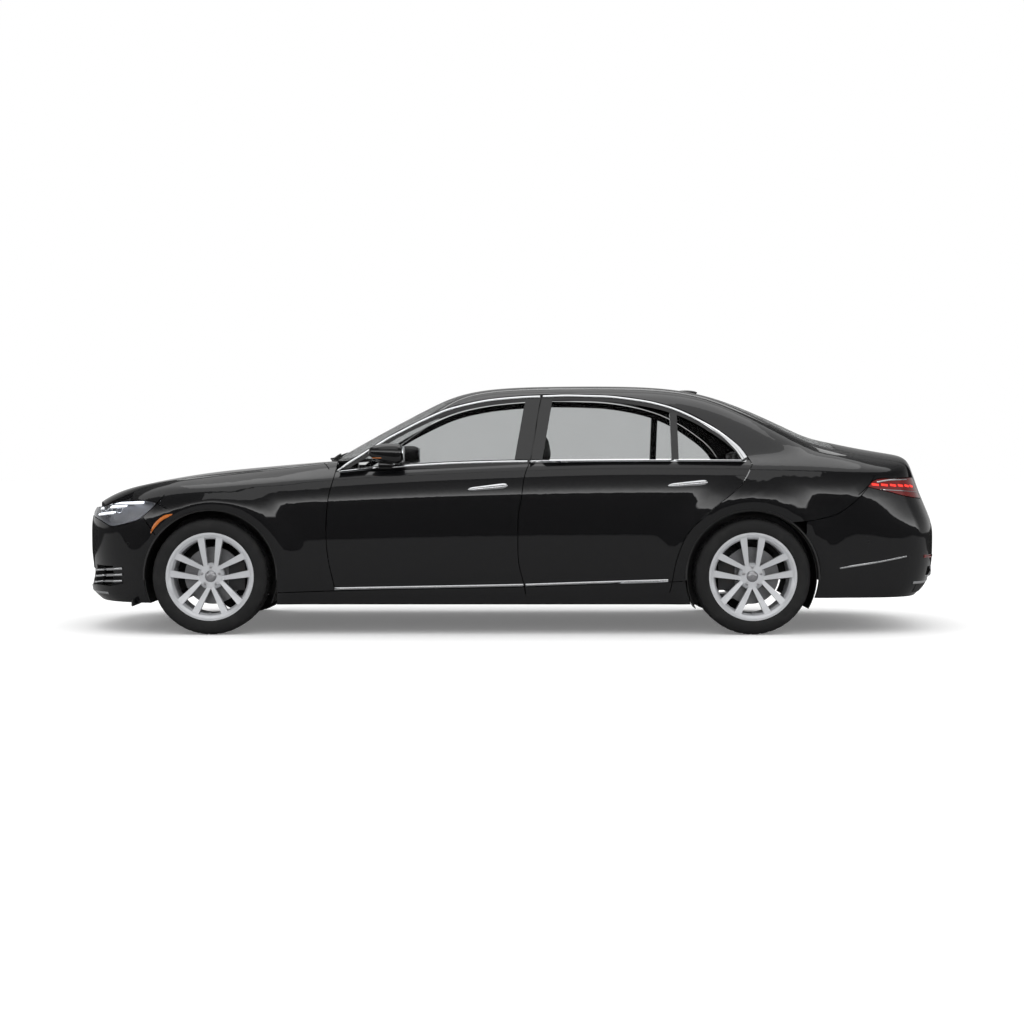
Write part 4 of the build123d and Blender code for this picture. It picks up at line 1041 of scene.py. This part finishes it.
def squared_ball(place, power):
    """Where a point of a cube goes on a ball with flat sides, flatter for a larger power."""
    u, v, w = place
    edge = (abs(u) ** power + abs(v) ** power + abs(w) ** power) ** (1 / power)
    return u / edge, v / edge, w / edge


class SEDAN_OT_mirrors(bpy.types.Operator):
    """Builds the door mirrors: gloss pods, feet, glasses and turn signals"""
    bl_idname = "sedan.mirrors"
    bl_label = "Door mirrors"

    def execute(self, context):
        pod = self.pod("mirror_pod_left")
        glass = smoothed(box_piece("mirror_glass_left", (-0.642, -1.022, 1.022),
                                   (-0.636, -0.884, 1.118), 0.0025, 2), 30)
        foot = smoothed(box_piece("mirror_foot_left", (-0.79, -0.915, 0.978),
                                  (-0.70, -0.868, 1.030), 0.014, 4), 40)
        signal = self.signal("mirror_signal_left", pod)
        for piece, finish, slot in ((pod, "gloss", "gloss_black"), (glass, "chrome", "chrome"),
                                    (foot, "gloss", "gloss_black"), (signal, "amber", "lamp")):
            other = flipped(copied(piece, piece.name.replace("left", "right")))
            for each, side_name in ((piece, "left"), (other, "right")):
                stands = (f"mirror_{side_name}",) if piece is pod else ()
                finished(each, door_of("front", side_name), finish, slot, stands)
        return {"FINISHED"}

    def pod(self, name):
        clear_selection()
        bpy.ops.mesh.primitive_cube_add(size=2, location=(0, 0, 0))
        piece = started(name)
        bpy.ops.object.mode_set(mode="EDIT")
        bpy.ops.mesh.subdivide(number_cuts=7)
        bpy.ops.object.mode_set(mode="OBJECT")
        middle_x, middle_y, middle_z = MIRROR_MIDDLE
        for vertex in piece.data.vertices:
            u, v, w = squared_ball(vertex.co, 3.2)
            front = (1 - u) / 2
            slim = 1 - 0.42 * front ** 1.6
            x = middle_x + u * MIRROR_HALF[0]
            y = middle_y + v * MIRROR_HALF[1] * (1 - 0.18 * front)
            z = middle_z + w * MIRROR_HALF[2] * slim + 0.012 * front
            if u > MIRROR_FLAT:
                x = middle_x + MIRROR_FLAT * MIRROR_HALF[0] + (u - MIRROR_FLAT) * 0.02
            vertex.co = (x, y, z)
        subdivided(piece, 2)
        return smoothed(piece, 60)

    def signal(self, name, pod):
        """Slim signal that wraps round the outer front of the pod."""
        mesh = pod.data
        tree = BVHTree.FromPolygons([v.co.copy() for v in mesh.vertices],
                                    [list(p.vertices) for p in mesh.polygons])
        points = []
        for step in range(15):
            angle = math.radians(188 + 62 * step / 14)
            way = Vector((math.cos(angle), math.sin(angle), 0))
            found, _, _, _ = tree.ray_cast(Vector(MIRROR_MIDDLE) + Vector((0, 0, -0.023)) + way,
                                           -way)
            points.append(found + way * 0.0004)
        return tube(name, points, 0.0028, 8)


GROOVE_FROM, GROOVE_FLOOR, GROOVE_DEPTH = 0.3345, 0.3395, 0.0045    # radii and depth on a tyre
BOLT_CIRCLE = 0.056
VALVE_RADIUS = 0.216


class SEDAN_OT_wheels(bpy.types.Operator):
    """Builds tyres with tread and sidewall rings, wheel bolts, caps, valves and brakes"""
    bl_idname = "sedan.wheels"
    bl_label = "Wheels"

    def execute(self, context):
        steps = context.scene.sedan_sizes.wheel_steps
        tyre = self.tyre("tyre_model", steps)
        cap = self.cap("cap_model")
        bolts = self.bolts("bolt_model")
        valve = self.valve("valve_model")
        for end in ENDS:
            for side_name, side in SIDES:
                low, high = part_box(f"{end}_tyre_{side_name}")
                centre = (low + high) / 2
                wheel = f"{end}_wheel_{side_name}"
                for model, name, finish, slot, stands in (
                        (tyre, "tyre", "rubber", "rubber", (f"{end}_tyre_{side_name}",)),
                        (cap, "cap", "satin", "alloy", ()), (bolts, "bolts", "satin", "alloy", ()),
                        (valve, "valve", "satin", "alloy", ())):
                    piece = copied(model, f"{name}_{end}_{side_name}")
                    if side > 0:
                        flipped(piece)
                    smoothed(moved(piece, centre), 35)
                    finished(piece, wheel, finish, slot, stands)
                for part, finish in (("rim", "alloy"), ("brake_disc", "brake")):
                    NODES[f"{end}_{part}_{side_name}"].data.materials[0] = FINISHES[finish]
        clear_selection()
        for model in (tyre, cap, bolts, valve):
            bpy.data.objects.remove(model)
        return {"FINISHED"}

    def turned(self, name, profile, steps):
        """Solid of revolution about Y from (radius, y) points, by spinning the outline."""
        clear_selection()
        mesh = bpy.data.meshes.new(name)
        mesh.from_pydata([(r, y, 0) for r, y in profile],
                         [(i, i + 1) for i in range(len(profile) - 1)], [])
        piece = bpy.data.objects.new(name, mesh)
        bpy.context.scene.collection.objects.link(piece)
        only(piece)
        bpy.ops.object.mode_set(mode="EDIT")
        bpy.ops.mesh.select_all(action="SELECT")
        bpy.ops.mesh.spin(steps=steps, angle=math.tau, center=(0, 0, 0), axis=(0, 1, 0))
        bpy.ops.object.mode_set(mode="OBJECT")
        return outward(piece, 0.00005)

    def tyre(self, name, steps):
        radius, bead = 0.345, 0.2413
        outer = [(bead + 0.0006, -0.108), (bead + 0.010, -0.113), (0.2595, -0.1165),
                 (0.2640, -0.1215),
                 (0.2700, -0.1240), (0.2760, -0.1258), (0.2850, -0.1272), (0.2950, -0.1275),
                 (0.3050, -0.1270),
                 (0.3080, -0.1262), (0.3092, -0.1262), (0.3150, -0.1248), (0.3230, -0.1215),
                 (0.3300, -0.1170),
                 (0.3350, -0.1120), (0.3392, -0.1050), (0.3418, -0.0960), (0.3430, -0.0860)]
        tread = []
        for low, high in ((-0.086, -0.056), (-0.046, -0.020), (-0.010, 0.010), (0.020, 0.046),
                          (0.056, 0.086)):
            tread += [(0.3365, low - 0.0005), (0.3442, low + 0.001), (radius, (low + high) / 2),
                      (0.3442, high - 0.001), (0.3365, high + 0.0005)]
        tread = tread[2:-2]
        inner = [(r, -y) for r, y in outer[::-1]]
        inside = [(bead + 0.0006, 0.100), (0.262, 0.105), (0.300, 0.112), (0.325, 0.095),
                  (0.330, 0.0),
                  (0.325, -0.095), (0.300, -0.112), (0.262, -0.105), (bead + 0.0006, -0.100),
                  (bead + 0.0006, -0.108)]
        piece = self.turned(name, outer + tread + inner + inside, steps)
        self.cut_tread(piece, steps)
        return piece

    def cut_tread(self, piece, steps):
        """Presses short grooves across the shoulder ribs."""
        work = bmesh.new()
        work.from_mesh(piece.data)
        chosen = []
        for face in work.faces:
            middle = face.calc_center_median()
            radius = math.hypot(middle.x, middle.z)
            away = Vector((middle.x, 0, middle.z)).normalized()
            if radius < GROOVE_FROM or face.normal.dot(away) < 0.35:
                continue
            turn = int(round(math.atan2(middle.z, middle.x) / (2 * math.pi) * steps))
            shoulder = abs(middle.y) > 0.058 and turn % 3 == 0
            if shoulder or (0.02 < abs(middle.y) < 0.046 and turn % 3 == 1):
                chosen.append(face)
        bmesh.ops.inset_region(work, faces=chosen, thickness=0.0022, depth=0.0,
                               use_even_offset=True)
        for face in chosen:
            for vertex in face.verts:
                inward = Vector((vertex.co.x, 0, vertex.co.z)).normalized()
                if math.hypot(vertex.co.x, vertex.co.z) > GROOVE_FLOOR:
                    vertex.co -= inward * GROOVE_DEPTH
        work.to_mesh(piece.data)
        work.free()

    def cap(self, name):
        profile = [(0.0001, -0.0835), (0.012, -0.0835), (0.013, -0.0850), (0.024, -0.0840),
                   (0.030, -0.0805),
                   (0.0325, -0.0770), (0.0325, -0.0600), (0.0001, -0.0600)]
        return self.turned(name, profile, 48)

    def pin(self, name, sides, radius, length, reach, y, degrees):
        """Short bar across the wheel, at a reach from its middle."""
        angle = math.radians(degrees)
        clear_selection()
        bpy.ops.mesh.primitive_cylinder_add(
            vertices=sides, radius=radius, depth=length, rotation=(math.radians(90), 0, 0),
            location=(reach * math.cos(angle), y, reach * math.sin(angle)))
        return rounded(apply_place(started(name)), 0.0012, 2)

    def bolts(self, name):
        return joined(name, [self.pin(f"bolt_{number}", 6, 0.0098, 0.012, BOLT_CIRCLE, -0.079,
                                      90 + 72 * number) for number in range(5)])

    def valve(self, name):
        return self.pin(name, 16, 0.0042, 0.030, VALVE_RADIUS, -0.092, -90)


def pad(name, centre, size, lean=0.0, puff=0.35, channels=0, groove=0.006, along="v", square=5.0):
    """Cushion: a crowned form with pulled-in edges and sewn channels, leaned back."""
    clear_selection()
    bpy.ops.mesh.primitive_cube_add(size=2)
    piece = started(name)
    bpy.ops.object.mode_set(mode="EDIT")
    bpy.ops.mesh.subdivide(number_cuts=21)
    bpy.ops.object.mode_set(mode="OBJECT")
    turn = math.radians(lean)
    crown_power, seam_width = 3.5, 0.16
    for vertex in piece.data.vertices:
        u, v, w = squared_ball(vertex.co, square)
        crown = (1 - puff * abs(u) ** crown_power) * (1 - puff * abs(v) ** crown_power)
        depth = w * crown
        if channels and w > 0:
            run = v if along == "v" else u
            line = abs(math.cos(run * math.pi * channels / 2))
            inside = max(0.0, 1 - max(abs(u), abs(v)) ** 8)
            seam = math.exp(-(line / seam_width) ** 2) * inside * min(1.0, w * 3)
            depth -= groove / size[2] * 2 * seam
        x, y, z = u * size[0] / 2, v * size[1] / 2, depth * size[2] / 2
        x, z = x * math.cos(turn) - z * math.sin(turn), x * math.sin(turn) + z * math.cos(turn)
        vertex.co = (centre[0] + x, centre[1] + y, centre[2] + z)
    subdivided(piece, 1)
    return smoothed(piece, 60)


class SEDAN_OT_front_seats(bpy.types.Operator):
    """Builds both front seats from sewn leather cushions"""
    bl_idname = "sedan.front_seats"
    bl_label = "Front seats"

    def execute(self, context):
        first = True
        for side_name, side in SIDES:
            y = side * 0.4175
            shapes = (
                ("base", (-0.215, y, 0.330), (0.50, 0.44, 0.17), -3, 0.10, 0, 8.0),
                ("cushion", (-0.225, y, 0.455), (0.50, 0.34, 0.13), -6, 0.30, 6, 5.0),
                ("cushion_bolster_near", (-0.215, y - 0.2, 0.462), (0.48, 0.095, 0.15), -6, 0.35, 0,
                 3.2),
                ("cushion_bolster_far", (-0.215, y + 0.2, 0.462), (0.48, 0.095, 0.15), -6, 0.35, 0,
                 3.2),
                ("back", (0.095, y, 0.745), (0.60, 0.36, 0.15), 106, 0.28, 6, 5.0),
                ("back_bolster_near", (0.080, y - 0.2, 0.735), (0.56, 0.10, 0.18), 106, 0.35, 0,
                 3.2),
                ("back_bolster_far", (0.080, y + 0.2, 0.735), (0.56, 0.10, 0.18), 106, 0.35, 0,
                 3.2),
                ("headrest", (0.190, y, 1.105), (0.17, 0.27, 0.10), 100, 0.25, 0, 4.0))
            for name, centre, size, lean, puff, channels, square in shapes:
                piece = pad(f"front_seat_{name}_{side_name}", centre, size, lean, puff, channels,
                            0.006,
                            "u" if name in ("back", "cushion") else "v", square)
                finished(piece, "body", "leather", "leather", ("front_seats",) if first else ())
                first = False
            for offset in (-0.05, 0.05):
                post = tube(f"headrest_post_{side_name}_{'near' if offset < 0 else 'far'}",
                            [(0.165, y + offset, 0.98), (0.176, y + offset, 1.04),
                             (0.188, y + offset, 1.09)], 0.006)
                finished(post, "body", "satin", "chrome")
        return {"FINISHED"}


class SEDAN_OT_rear_bench(bpy.types.Operator):
    """Builds the rear bench from sewn leather cushions"""
    bl_idname = "sedan.rear_bench"
    bl_label = "Rear bench"

    def execute(self, context):
        first = True
        for name, y, width in (("left", -0.34, 0.42), ("middle", 0.0, 0.24), ("right", 0.34, 0.42)):
            outer = 0 if name == "middle" else math.copysign(1, y)
            shapes = (("cushion", (1.05, y, 0.478), (0.46, width, 0.13), -6, 0.26,
                       6 if outer else 4),
                      ("back", (1.395, y, 0.725), (0.56, width, 0.15), 112, 0.24,
                       6 if outer else 4),
                      ("headrest", (1.475, y, 1.015), (0.15, 0.25 if outer else 0.2, 0.09), 104,
                       0.25, 0))
            for kind, centre, size, lean, puff, channels in shapes:
                piece = pad(f"rear_bench_{kind}_{name}", centre, size, lean, puff, channels, 0.006,
                            "u", 5.0)
                finished(piece, "body", "leather", "leather", ("rear_bench",) if first else ())
                first = False
        block("rear_bench_base", (0.852, -0.55, 0.432), (1.32, 0.55, 0.447), 0.006, 3, None,
              "carpet", "trim")
        return {"FINISHED"}


DOOR_INNER = 0.8165         # half the cabin's width between the doors
WHEEL_HUB = Vector((-0.655, -0.372, 0.905))
WHEEL_LEAN = math.radians(24)


class SEDAN_OT_cabin(bpy.types.Operator):
    """Builds the door linings, headlining, carpets, screens, vents and the steering wheel's trim"""
    bl_idname = "sedan.cabin"
    bl_label = "Cabin"

    def execute(self, context):
        self.door_linings()
        self.headlining()
        self.dashboard()
        self.carpets()
        return {"FINISHED"}

    def door_linings(self):
        for side_name, side in SIDES:
            for end, x0, x1 in (("front", -0.98, -0.02), ("rear", 0.18, 1.02)):
                door = door_of(end, side_name)
                rows = (("lining_upper", x0, x1, 0.775, 0.905, 0.020, "leather"),
                        ("lining_wood", x0 + 0.02, x1 - 0.02, 0.735, 0.770, 0.012, "gloss"),
                        ("armrest", x0 + 0.15, x1 - 0.06, 0.645, 0.715, 0.052, "leather"),
                        ("lining_lower", x0 + 0.02, x1 - 0.02, 0.36, 0.635, 0.012, "plastic"),
                        ("door_pocket", x0 + 0.16, x1 - 0.10, 0.36, 0.47, 0.045, "plastic"))
                for name, a, b, z0, z1, depth, finish in rows:
                    y0, y1 = sorted((side * DOOR_INNER, side * (DOOR_INNER - depth)))
                    block(f"{name}_{end}_{side_name}", (a, y0, z0), (b, y1, z1),
                          min(depth, z1 - z0) * 0.42,
                          4, 50, finish, "leather" if finish == "leather" else "trim", door)
                pull = tube(f"door_pull_{end}_{side_name}",
                            [(x0 + 0.12, side * 0.808, 0.80), (x0 + 0.14, side * 0.785, 0.802),
                             (x0 + 0.20, side * 0.782, 0.804), (x0 + 0.24, side * 0.808, 0.806)],
                            0.007)
                finished(pull, door, "satin", "chrome")

    def headlining(self):
        tree = surface_of("roof_panel")

        def place(u, v):
            x, y = -0.30 + 1.50 * u, -0.53 + 1.06 * v
            found, _, _, _ = tree.ray_cast(Vector((x, y, 1.0)), Vector((0, 0, 1)))
            return x, y, (found.z if found else 1.44) - 0.016

        piece = sheet_solid(laid("headlining", 17, 33, place), 0.010)
        finished(piece, "body", "roof", "trim")

    def dashboard(self):
        parts = (
            ("centre_screen", (-0.842, -0.13, 0.66), (-0.826, 0.13, 0.90), 0.006, "gloss"),
            ("driver_screen", (-0.862, -0.53, 0.865), (-0.848, -0.22, 0.985), 0.006, "gloss"),
            ("dash_wood", (-0.846, 0.16, 0.80), (-0.836, 0.66, 0.86), 0.004, "gloss"),
            ("console_lid", (-0.62, -0.11, 0.641), (-0.30, 0.11, 0.665), 0.010, "gloss"),
            ("console_armrest", (-0.27, -0.12, 0.641), (0.10, 0.12, 0.70), 0.022, "leather"),
            ("rear_console", (0.185, -0.13, 0.402), (0.25, 0.13, 0.60), 0.012, "plastic"))
        for name, low, high, bevel, finish in parts:
            block(name, low, high, bevel, 4, 50, finish, "trim")
        for number, place in enumerate((-0.60, -0.08, 0.08, 0.60)):
            foot = 0.915 if abs(place) < 0.5 else 0.90
            block(f"air_vent_{number}", (-0.842, place - 0.05, foot),
                  (-0.828, place + 0.05, foot + 0.04), 0.004, 3, 40, "satin", "trim")
        way = Vector((-math.cos(WHEEL_LEAN), 0, -math.sin(WHEEL_LEAN)))
        boss = ball_piece("wheel_boss", 40, (0.022, 0.078, 0.066), WHEEL_HUB - way * 0.010,
                          (0, -WHEEL_LEAN, 0))
        finished(boss, "steering_wheel", "leather", "trim")

    def carpets(self):
        for name, low, high in (
                ("carpet_front_left", (-1.24, -0.70, 0.226), (-0.52, -0.155, 0.238)),
                ("carpet_front_right", (-1.24, 0.155, 0.226), (-0.52, 0.70, 0.238)),
                ("carpet_rear_left", (0.27, -0.70, 0.226), (0.95, -0.155, 0.238)),
                ("carpet_rear_right", (0.27, 0.155, 0.226), (0.95, 0.70, 0.238)),
                ("trunk_carpet", (1.62, -0.495, 0.351), (2.425, 0.495, 0.362)),
                ("rear_shelf", (1.50, -0.60, 0.963), (1.97, 0.60, 0.972))):
            block(name, low, high, 0.004, 3, 40, "carpet", "trim")


class SEDAN_OT_details(bpy.types.Operator):
    """Adds the wipers, aerial, sensors, bumper trim, exhaust outlets and side markers"""
    bl_idname = "sedan.details"
    bl_label = "Outer details"

    def execute(self, context):
        self.side_markers()
        self.rear_trim()
        self.front_trim()
        self.wipers()
        self.roof_fin()
        self.sensors()
        self.arch_linings()
        self.engine_bay()
        return {"FINISHED"}

    def side_markers(self):
        marker = ((-2.137, 0.603), (-2.118, 0.640), (-2.090, 0.672), (-2.055, 0.697),
                  (-2.005, 0.715))
        tree = surface_of("front_bumper", "front_fenders")
        for side_name, side in SIDES:
            piece = side_strip(f"side_marker_{side_name}", tree, side, marker, self.marker_width,
                               0.0035, 30, 4, 0.6)
            finished(piece, "body", "amber", "lamp")

    def marker_width(self, share):
        """Width of the side marker, which tapers towards both ends."""
        return 0.019 * min(1.0, 0.35 + 2.2 * share) * min(1.0, 0.25 + 4.0 * (1 - share))

    def rear_trim(self):
        tree = surface_of("rear_bumper")
        lamps = surface_of("taillights")
        for side_name, side in SIDES:
            for name, target, points, width, steps in (
                    ("rear_strip", tree, ((1.95, 0.394), (2.15, 0.424), (2.36, 0.462)), 0.011, 30),
                    ("tail_lamp_strip", lamps, ((2.175, 0.904), (2.26, 0.9165), (2.38, 0.9205)),
                     0.008, 24)):
                strip = side_strip(f"{name}_{side_name}", target, side, points, width, 0.003, steps,
                                   4, 0.7)
                finished(strip, "body", "chrome", "chrome")
            self.exhaust(side_name, side)
        self.end_run("rear_chrome_bar", tree, TAIL_CENTRE_X, 1, (-46, 46), (0.300, 0.300), 0.014,
                     "chrome", "chrome")
        self.end_run("rear_valance", tree, TAIL_CENTRE_X, 1, (-44, 44), (0.262, 0.262), 0.048,
                     "plastic", "trim")
        for side_name, side in SIDES:
            self.end_run(f"rear_reflector_{side_name}", tree, TAIL_CENTRE_X, 1,
                         (side * 30, side * 42), (0.452, 0.456), 0.016,
                         "red", "tail_lamp")
        self.end_run("rear_plate_blank", surface_of("trunk_lid"), TAIL_CENTRE_X, 1, (-9, 9),
                     (0.74, 0.74), 0.15,
                     "satin", "trim", 0.005, 0.004, "trunk_lid")

    def end_run(self, name, tree, centre_x, front, angles, heights, tall, finish, slot, depth=0.004,
                lift=0.002,
                body="body"):
        """Band round the nose or the tail, laid on the bumper."""
        last = None

        def place(u, v):
            nonlocal last
            angle = math.radians(angles[0] + (angles[1] - angles[0]) * u)
            way = Vector((front * math.cos(angle), math.sin(angle), 0))
            across = v - 0.5
            z = heights[0] + (heights[1] - heights[0]) * u + across * tall
            found, _, _, _ = tree.ray_cast(Vector((centre_x, 0, z)) + way * 2, -way)
            last = found or last
            return last + way * lift * (1 - (2 * across) ** 2 * 0.6)

        return finished(sheet_solid(laid(name, 5, 61, place), depth), body, finish, slot)

    def exhaust(self, side_name, side):
        """Bright frame round each outlet in the bumper, with a dark mesh behind it."""
        y0, y1, z0, z1 = 0.480, 0.690, 0.330, 0.392
        tree = surface_of("rear_bumper")
        x0, x1 = (on_way(tree, (3.2, side * y, (z0 + z1) / 2),
                         (-1, 0, 0))[0].x for y in (y0 - 0.02, y1 + 0.02))
        corners = []
        for u, w in rounded_square(40, 0.35):
            y = (y0 + y1) / 2 + u * (y1 - y0) / 2
            corners.append((x0 + (x1 - x0) * (y - y0) / (y1 - y0) - 0.004, side * y,
                            (z0 + z1) / 2 + w * (z1 - z0) / 2))
        ring = tube(f"exhaust_trim_{side_name}", corners, 0.0055, 12, closed=True)
        finished(ring, "body", "chrome", "chrome")
        low, high = sorted((side * (y0 - 0.01), side * (y1 + 0.01)))
        block(f"exhaust_back_{side_name}", (x1 - 0.115, low, z0 - 0.012),
              (x1 - 0.10, high, z1 + 0.012), 0.004, 2, None, "plastic", "trim")

    def front_trim(self):
        tree = surface_of("front_bumper")
        for side_name, side in SIDES:
            for number, (z0, z1) in enumerate(((0.292, 0.315), (0.328, 0.352), (0.364, 0.388))):
                self.end_run(f"intake_blade_{number}_{side_name}", tree, NOSE_CENTRE_X, -1,
                             (side * 44, side * 66),
                             (z0, z1), 0.011, "chrome", "chrome", 0.006, 0.004)
            low, high = sorted((side * 0.585, side * 0.80))
            back = box_piece(f"intake_back_{side_name}", (-2.36, low, 0.268), (-2.345, high, 0.412),
                             0.006, 2)
            low, high = sorted((side * 0.785, side * 0.80))
            back_side = box_piece(f"intake_side_{side_name}", (-2.36, low, 0.268),
                                  (-2.22, high, 0.412), 0.004, 2)
            finished(joined(f"intake_back_{side_name}", [back, back_side]), "body", "plastic",
                     "trim")
            low, high = sorted((side * 0.66, side * 0.90))
            block(f"air_deflector_{side_name}", (-2.258, low, 0.166), (-2.245, high, 0.205), 0.006,
                  3, 40,
                  "plastic", "trim")
        block("lower_intake_back", (-2.532, -0.515, 0.255), (-2.520, 0.515, 0.380), 0.004, 2, None,
              "plastic", "trim")
        self.end_run("front_lip", tree, NOSE_CENTRE_X, -1, (-58, 58), (0.236, 0.236), 0.012,
                     "chrome", "chrome")
        self.end_run("front_plate_blank", tree, NOSE_CENTRE_X, -1, (-12.5, 12.5), (0.418, 0.418),
                     0.088, "satin",
                     "trim", 0.005, 0.004)
        self.grille()

    def grille(self):
        """Bright surround and a dark mesh behind the grille's bars."""
        low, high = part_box("grille")
        tree = surface_of("grille")
        corners = []
        for u, w in rounded_square(64, 0.28):
            y, z = u * (high.y - 0.010), (low.z + high.z) / 2 + w * ((high.z - low.z) / 2 - 0.010)
            found, _ = on_way(tree, (-3.4, y, z), (1, 0, 0))
            if found is not None:
                corners.append((found.x + 0.002, y, z))
        frame_bar = tube("grille_surround", corners, 0.008, 12, closed=True)
        finished(frame_bar, "body", "chrome", "chrome")
        block("grille_mesh", (high.x - 0.012, low.y + 0.01, low.z + 0.01),
              (high.x - 0.002, high.y - 0.01, high.z - 0.014), 0.002, 2, None, "plastic", "trim")

    def wipers(self):
        """Two wiper arms with blades, parked along the foot of the windshield."""
        tree = surface_of("windshield", "cowl_panel")
        for name, pivot, tip in (("driver", (-1.105, -0.52), (-1.055, 0.06)),
                                 ("passenger", (-1.135, 0.06), (-0.985, 0.60))):
            blade = []
            for step in range(13):
                u = step / 12
                x = pivot[0] + (tip[0] - pivot[0]) * u - 0.030 * math.sin(math.pi * u)
                y = pivot[1] + (tip[1] - pivot[1]) * u
                found, _ = on_way(tree, (x, y, 1.6), (0, 0, -1))
                if found is not None:
                    blade.append((x, y, found.z))
            rubber = tube(f"wiper_blade_{name}", [(x, y, z + 0.006) for x, y, z in blade[3:]],
                          0.005, 8)
            arm = tube(f"wiper_arm_{name}", [(x, y, z + 0.017) for x, y, z in blade[:10]], 0.0065,
                       8)
            finished(rubber, "body", "seal", "rubber")
            finished(arm, "body", "plastic", "trim")

    def roof_fin(self):
        """Low aerial fin at the back of the roof."""
        found, _ = on_way(surface_of("roof_panel", "rear_window"), (1.12, 0, 2), (0, 0, -1))
        fin = ball_piece("roof_aerial", 32, (0.075, 0.018, 0.016), (1.12, 0, found.z + 0.002))
        finished(fin, "body", "gloss", "gloss_black")

    def sensors(self):
        """Small round parking sensors, flush in both bumpers."""
        for side_name, side in SIDES:
            for end, x, z in (("front", -2.285, 0.536), ("rear", 2.120, 0.548)):
                found, normal = on_side(surface_of(f"{end}_bumper"), side, x, z)
                ring = ring_piece(f"sensor_{end}_{side_name}", 0.0105, 0.0012, 32, found,
                                  normal.to_track_quat("Z", "Y").to_euler())
                finished(ring, "body", "seal", "gloss_black")

    def arch_linings(self):
        """Dark wheel houses: a roof over each tyre and an inner wall with room for the axle."""
        hole_r, outer_y = 0.200, 0.895
        for end, wall_y, roof_r, start in (("front", 0.502, 0.393, -24),
                                           ("rear", 0.690, 0.386, -30)):
            for side_name, side in SIDES:
                low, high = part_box(f"{end}_tyre_{side_name}")
                centre = (low + high) / 2

                def place(u, v):
                    angle = math.radians(start + (180 - 2 * start) * u)
                    radius = hole_r + (roof_r - hole_r) * min(1.0, v * 2)
                    y = side * (wall_y + (outer_y - wall_y) * max(0.0, v * 2 - 1))
                    across, up = radius * math.cos(angle), radius * math.sin(angle)
                    return centre.x + across, y, centre.z + up

                piece = sheet_solid(laid(f"arch_lining_{end}_{side_name}", 9, 49, place), 0.004)
                finished(piece, "body", "plastic", "underbody")

    def engine_bay(self):
        block("engine_cover", (-2.05, -0.29, 0.802), (-1.50, 0.29, 0.850), 0.018, 4, 45, "plastic",
              "trim")


class SEDAN_PT_panel(bpy.types.Panel):
    """Lists the car's sizes, colours and building steps"""
    bl_idname = "SEDAN_PT_panel"
    bl_label = "Luxury sedan"
    bl_space_type = "VIEW_3D"
    bl_region_type = "UI"
    bl_category = "Sedan"

    def draw(self, context):
        for group in (context.scene.sedan_sizes, context.scene.sedan_colours):
            for name in group.bl_rna.properties.keys():
                if name not in {"rna_type", "name"}:
                    self.layout.prop(group, name)
        for step in STEPS:
            self.layout.operator(step.bl_idname)


STEPS = (SEDAN_OT_stage, SEDAN_OT_finishes, SEDAN_OT_window_trim, SEDAN_OT_handles,
         SEDAN_OT_front_lamps,
         SEDAN_OT_tail_lamps, SEDAN_OT_mirrors, SEDAN_OT_wheels, SEDAN_OT_front_seats,
         SEDAN_OT_rear_bench,
         SEDAN_OT_cabin, SEDAN_OT_details)
CLASSES = (SedanSizes, SedanColours, *STEPS, SEDAN_PT_panel)


def register():
    for each in CLASSES:
        bpy.utils.register_class(each)
    bpy.types.Scene.sedan_sizes = bpy.props.PointerProperty(type=SedanSizes)
    bpy.types.Scene.sedan_colours = bpy.props.PointerProperty(type=SedanColours)


def unregister():
    del bpy.types.Scene.sedan_colours
    del bpy.types.Scene.sedan_sizes
    for each in reversed(CLASSES):
        bpy.utils.unregister_class(each)


def main():
    register()
    for step in STEPS:
        group, name = step.bl_idname.split(".")
        getattr(getattr(bpy.ops, group), name)()


if __name__ == "__main__":
    main()
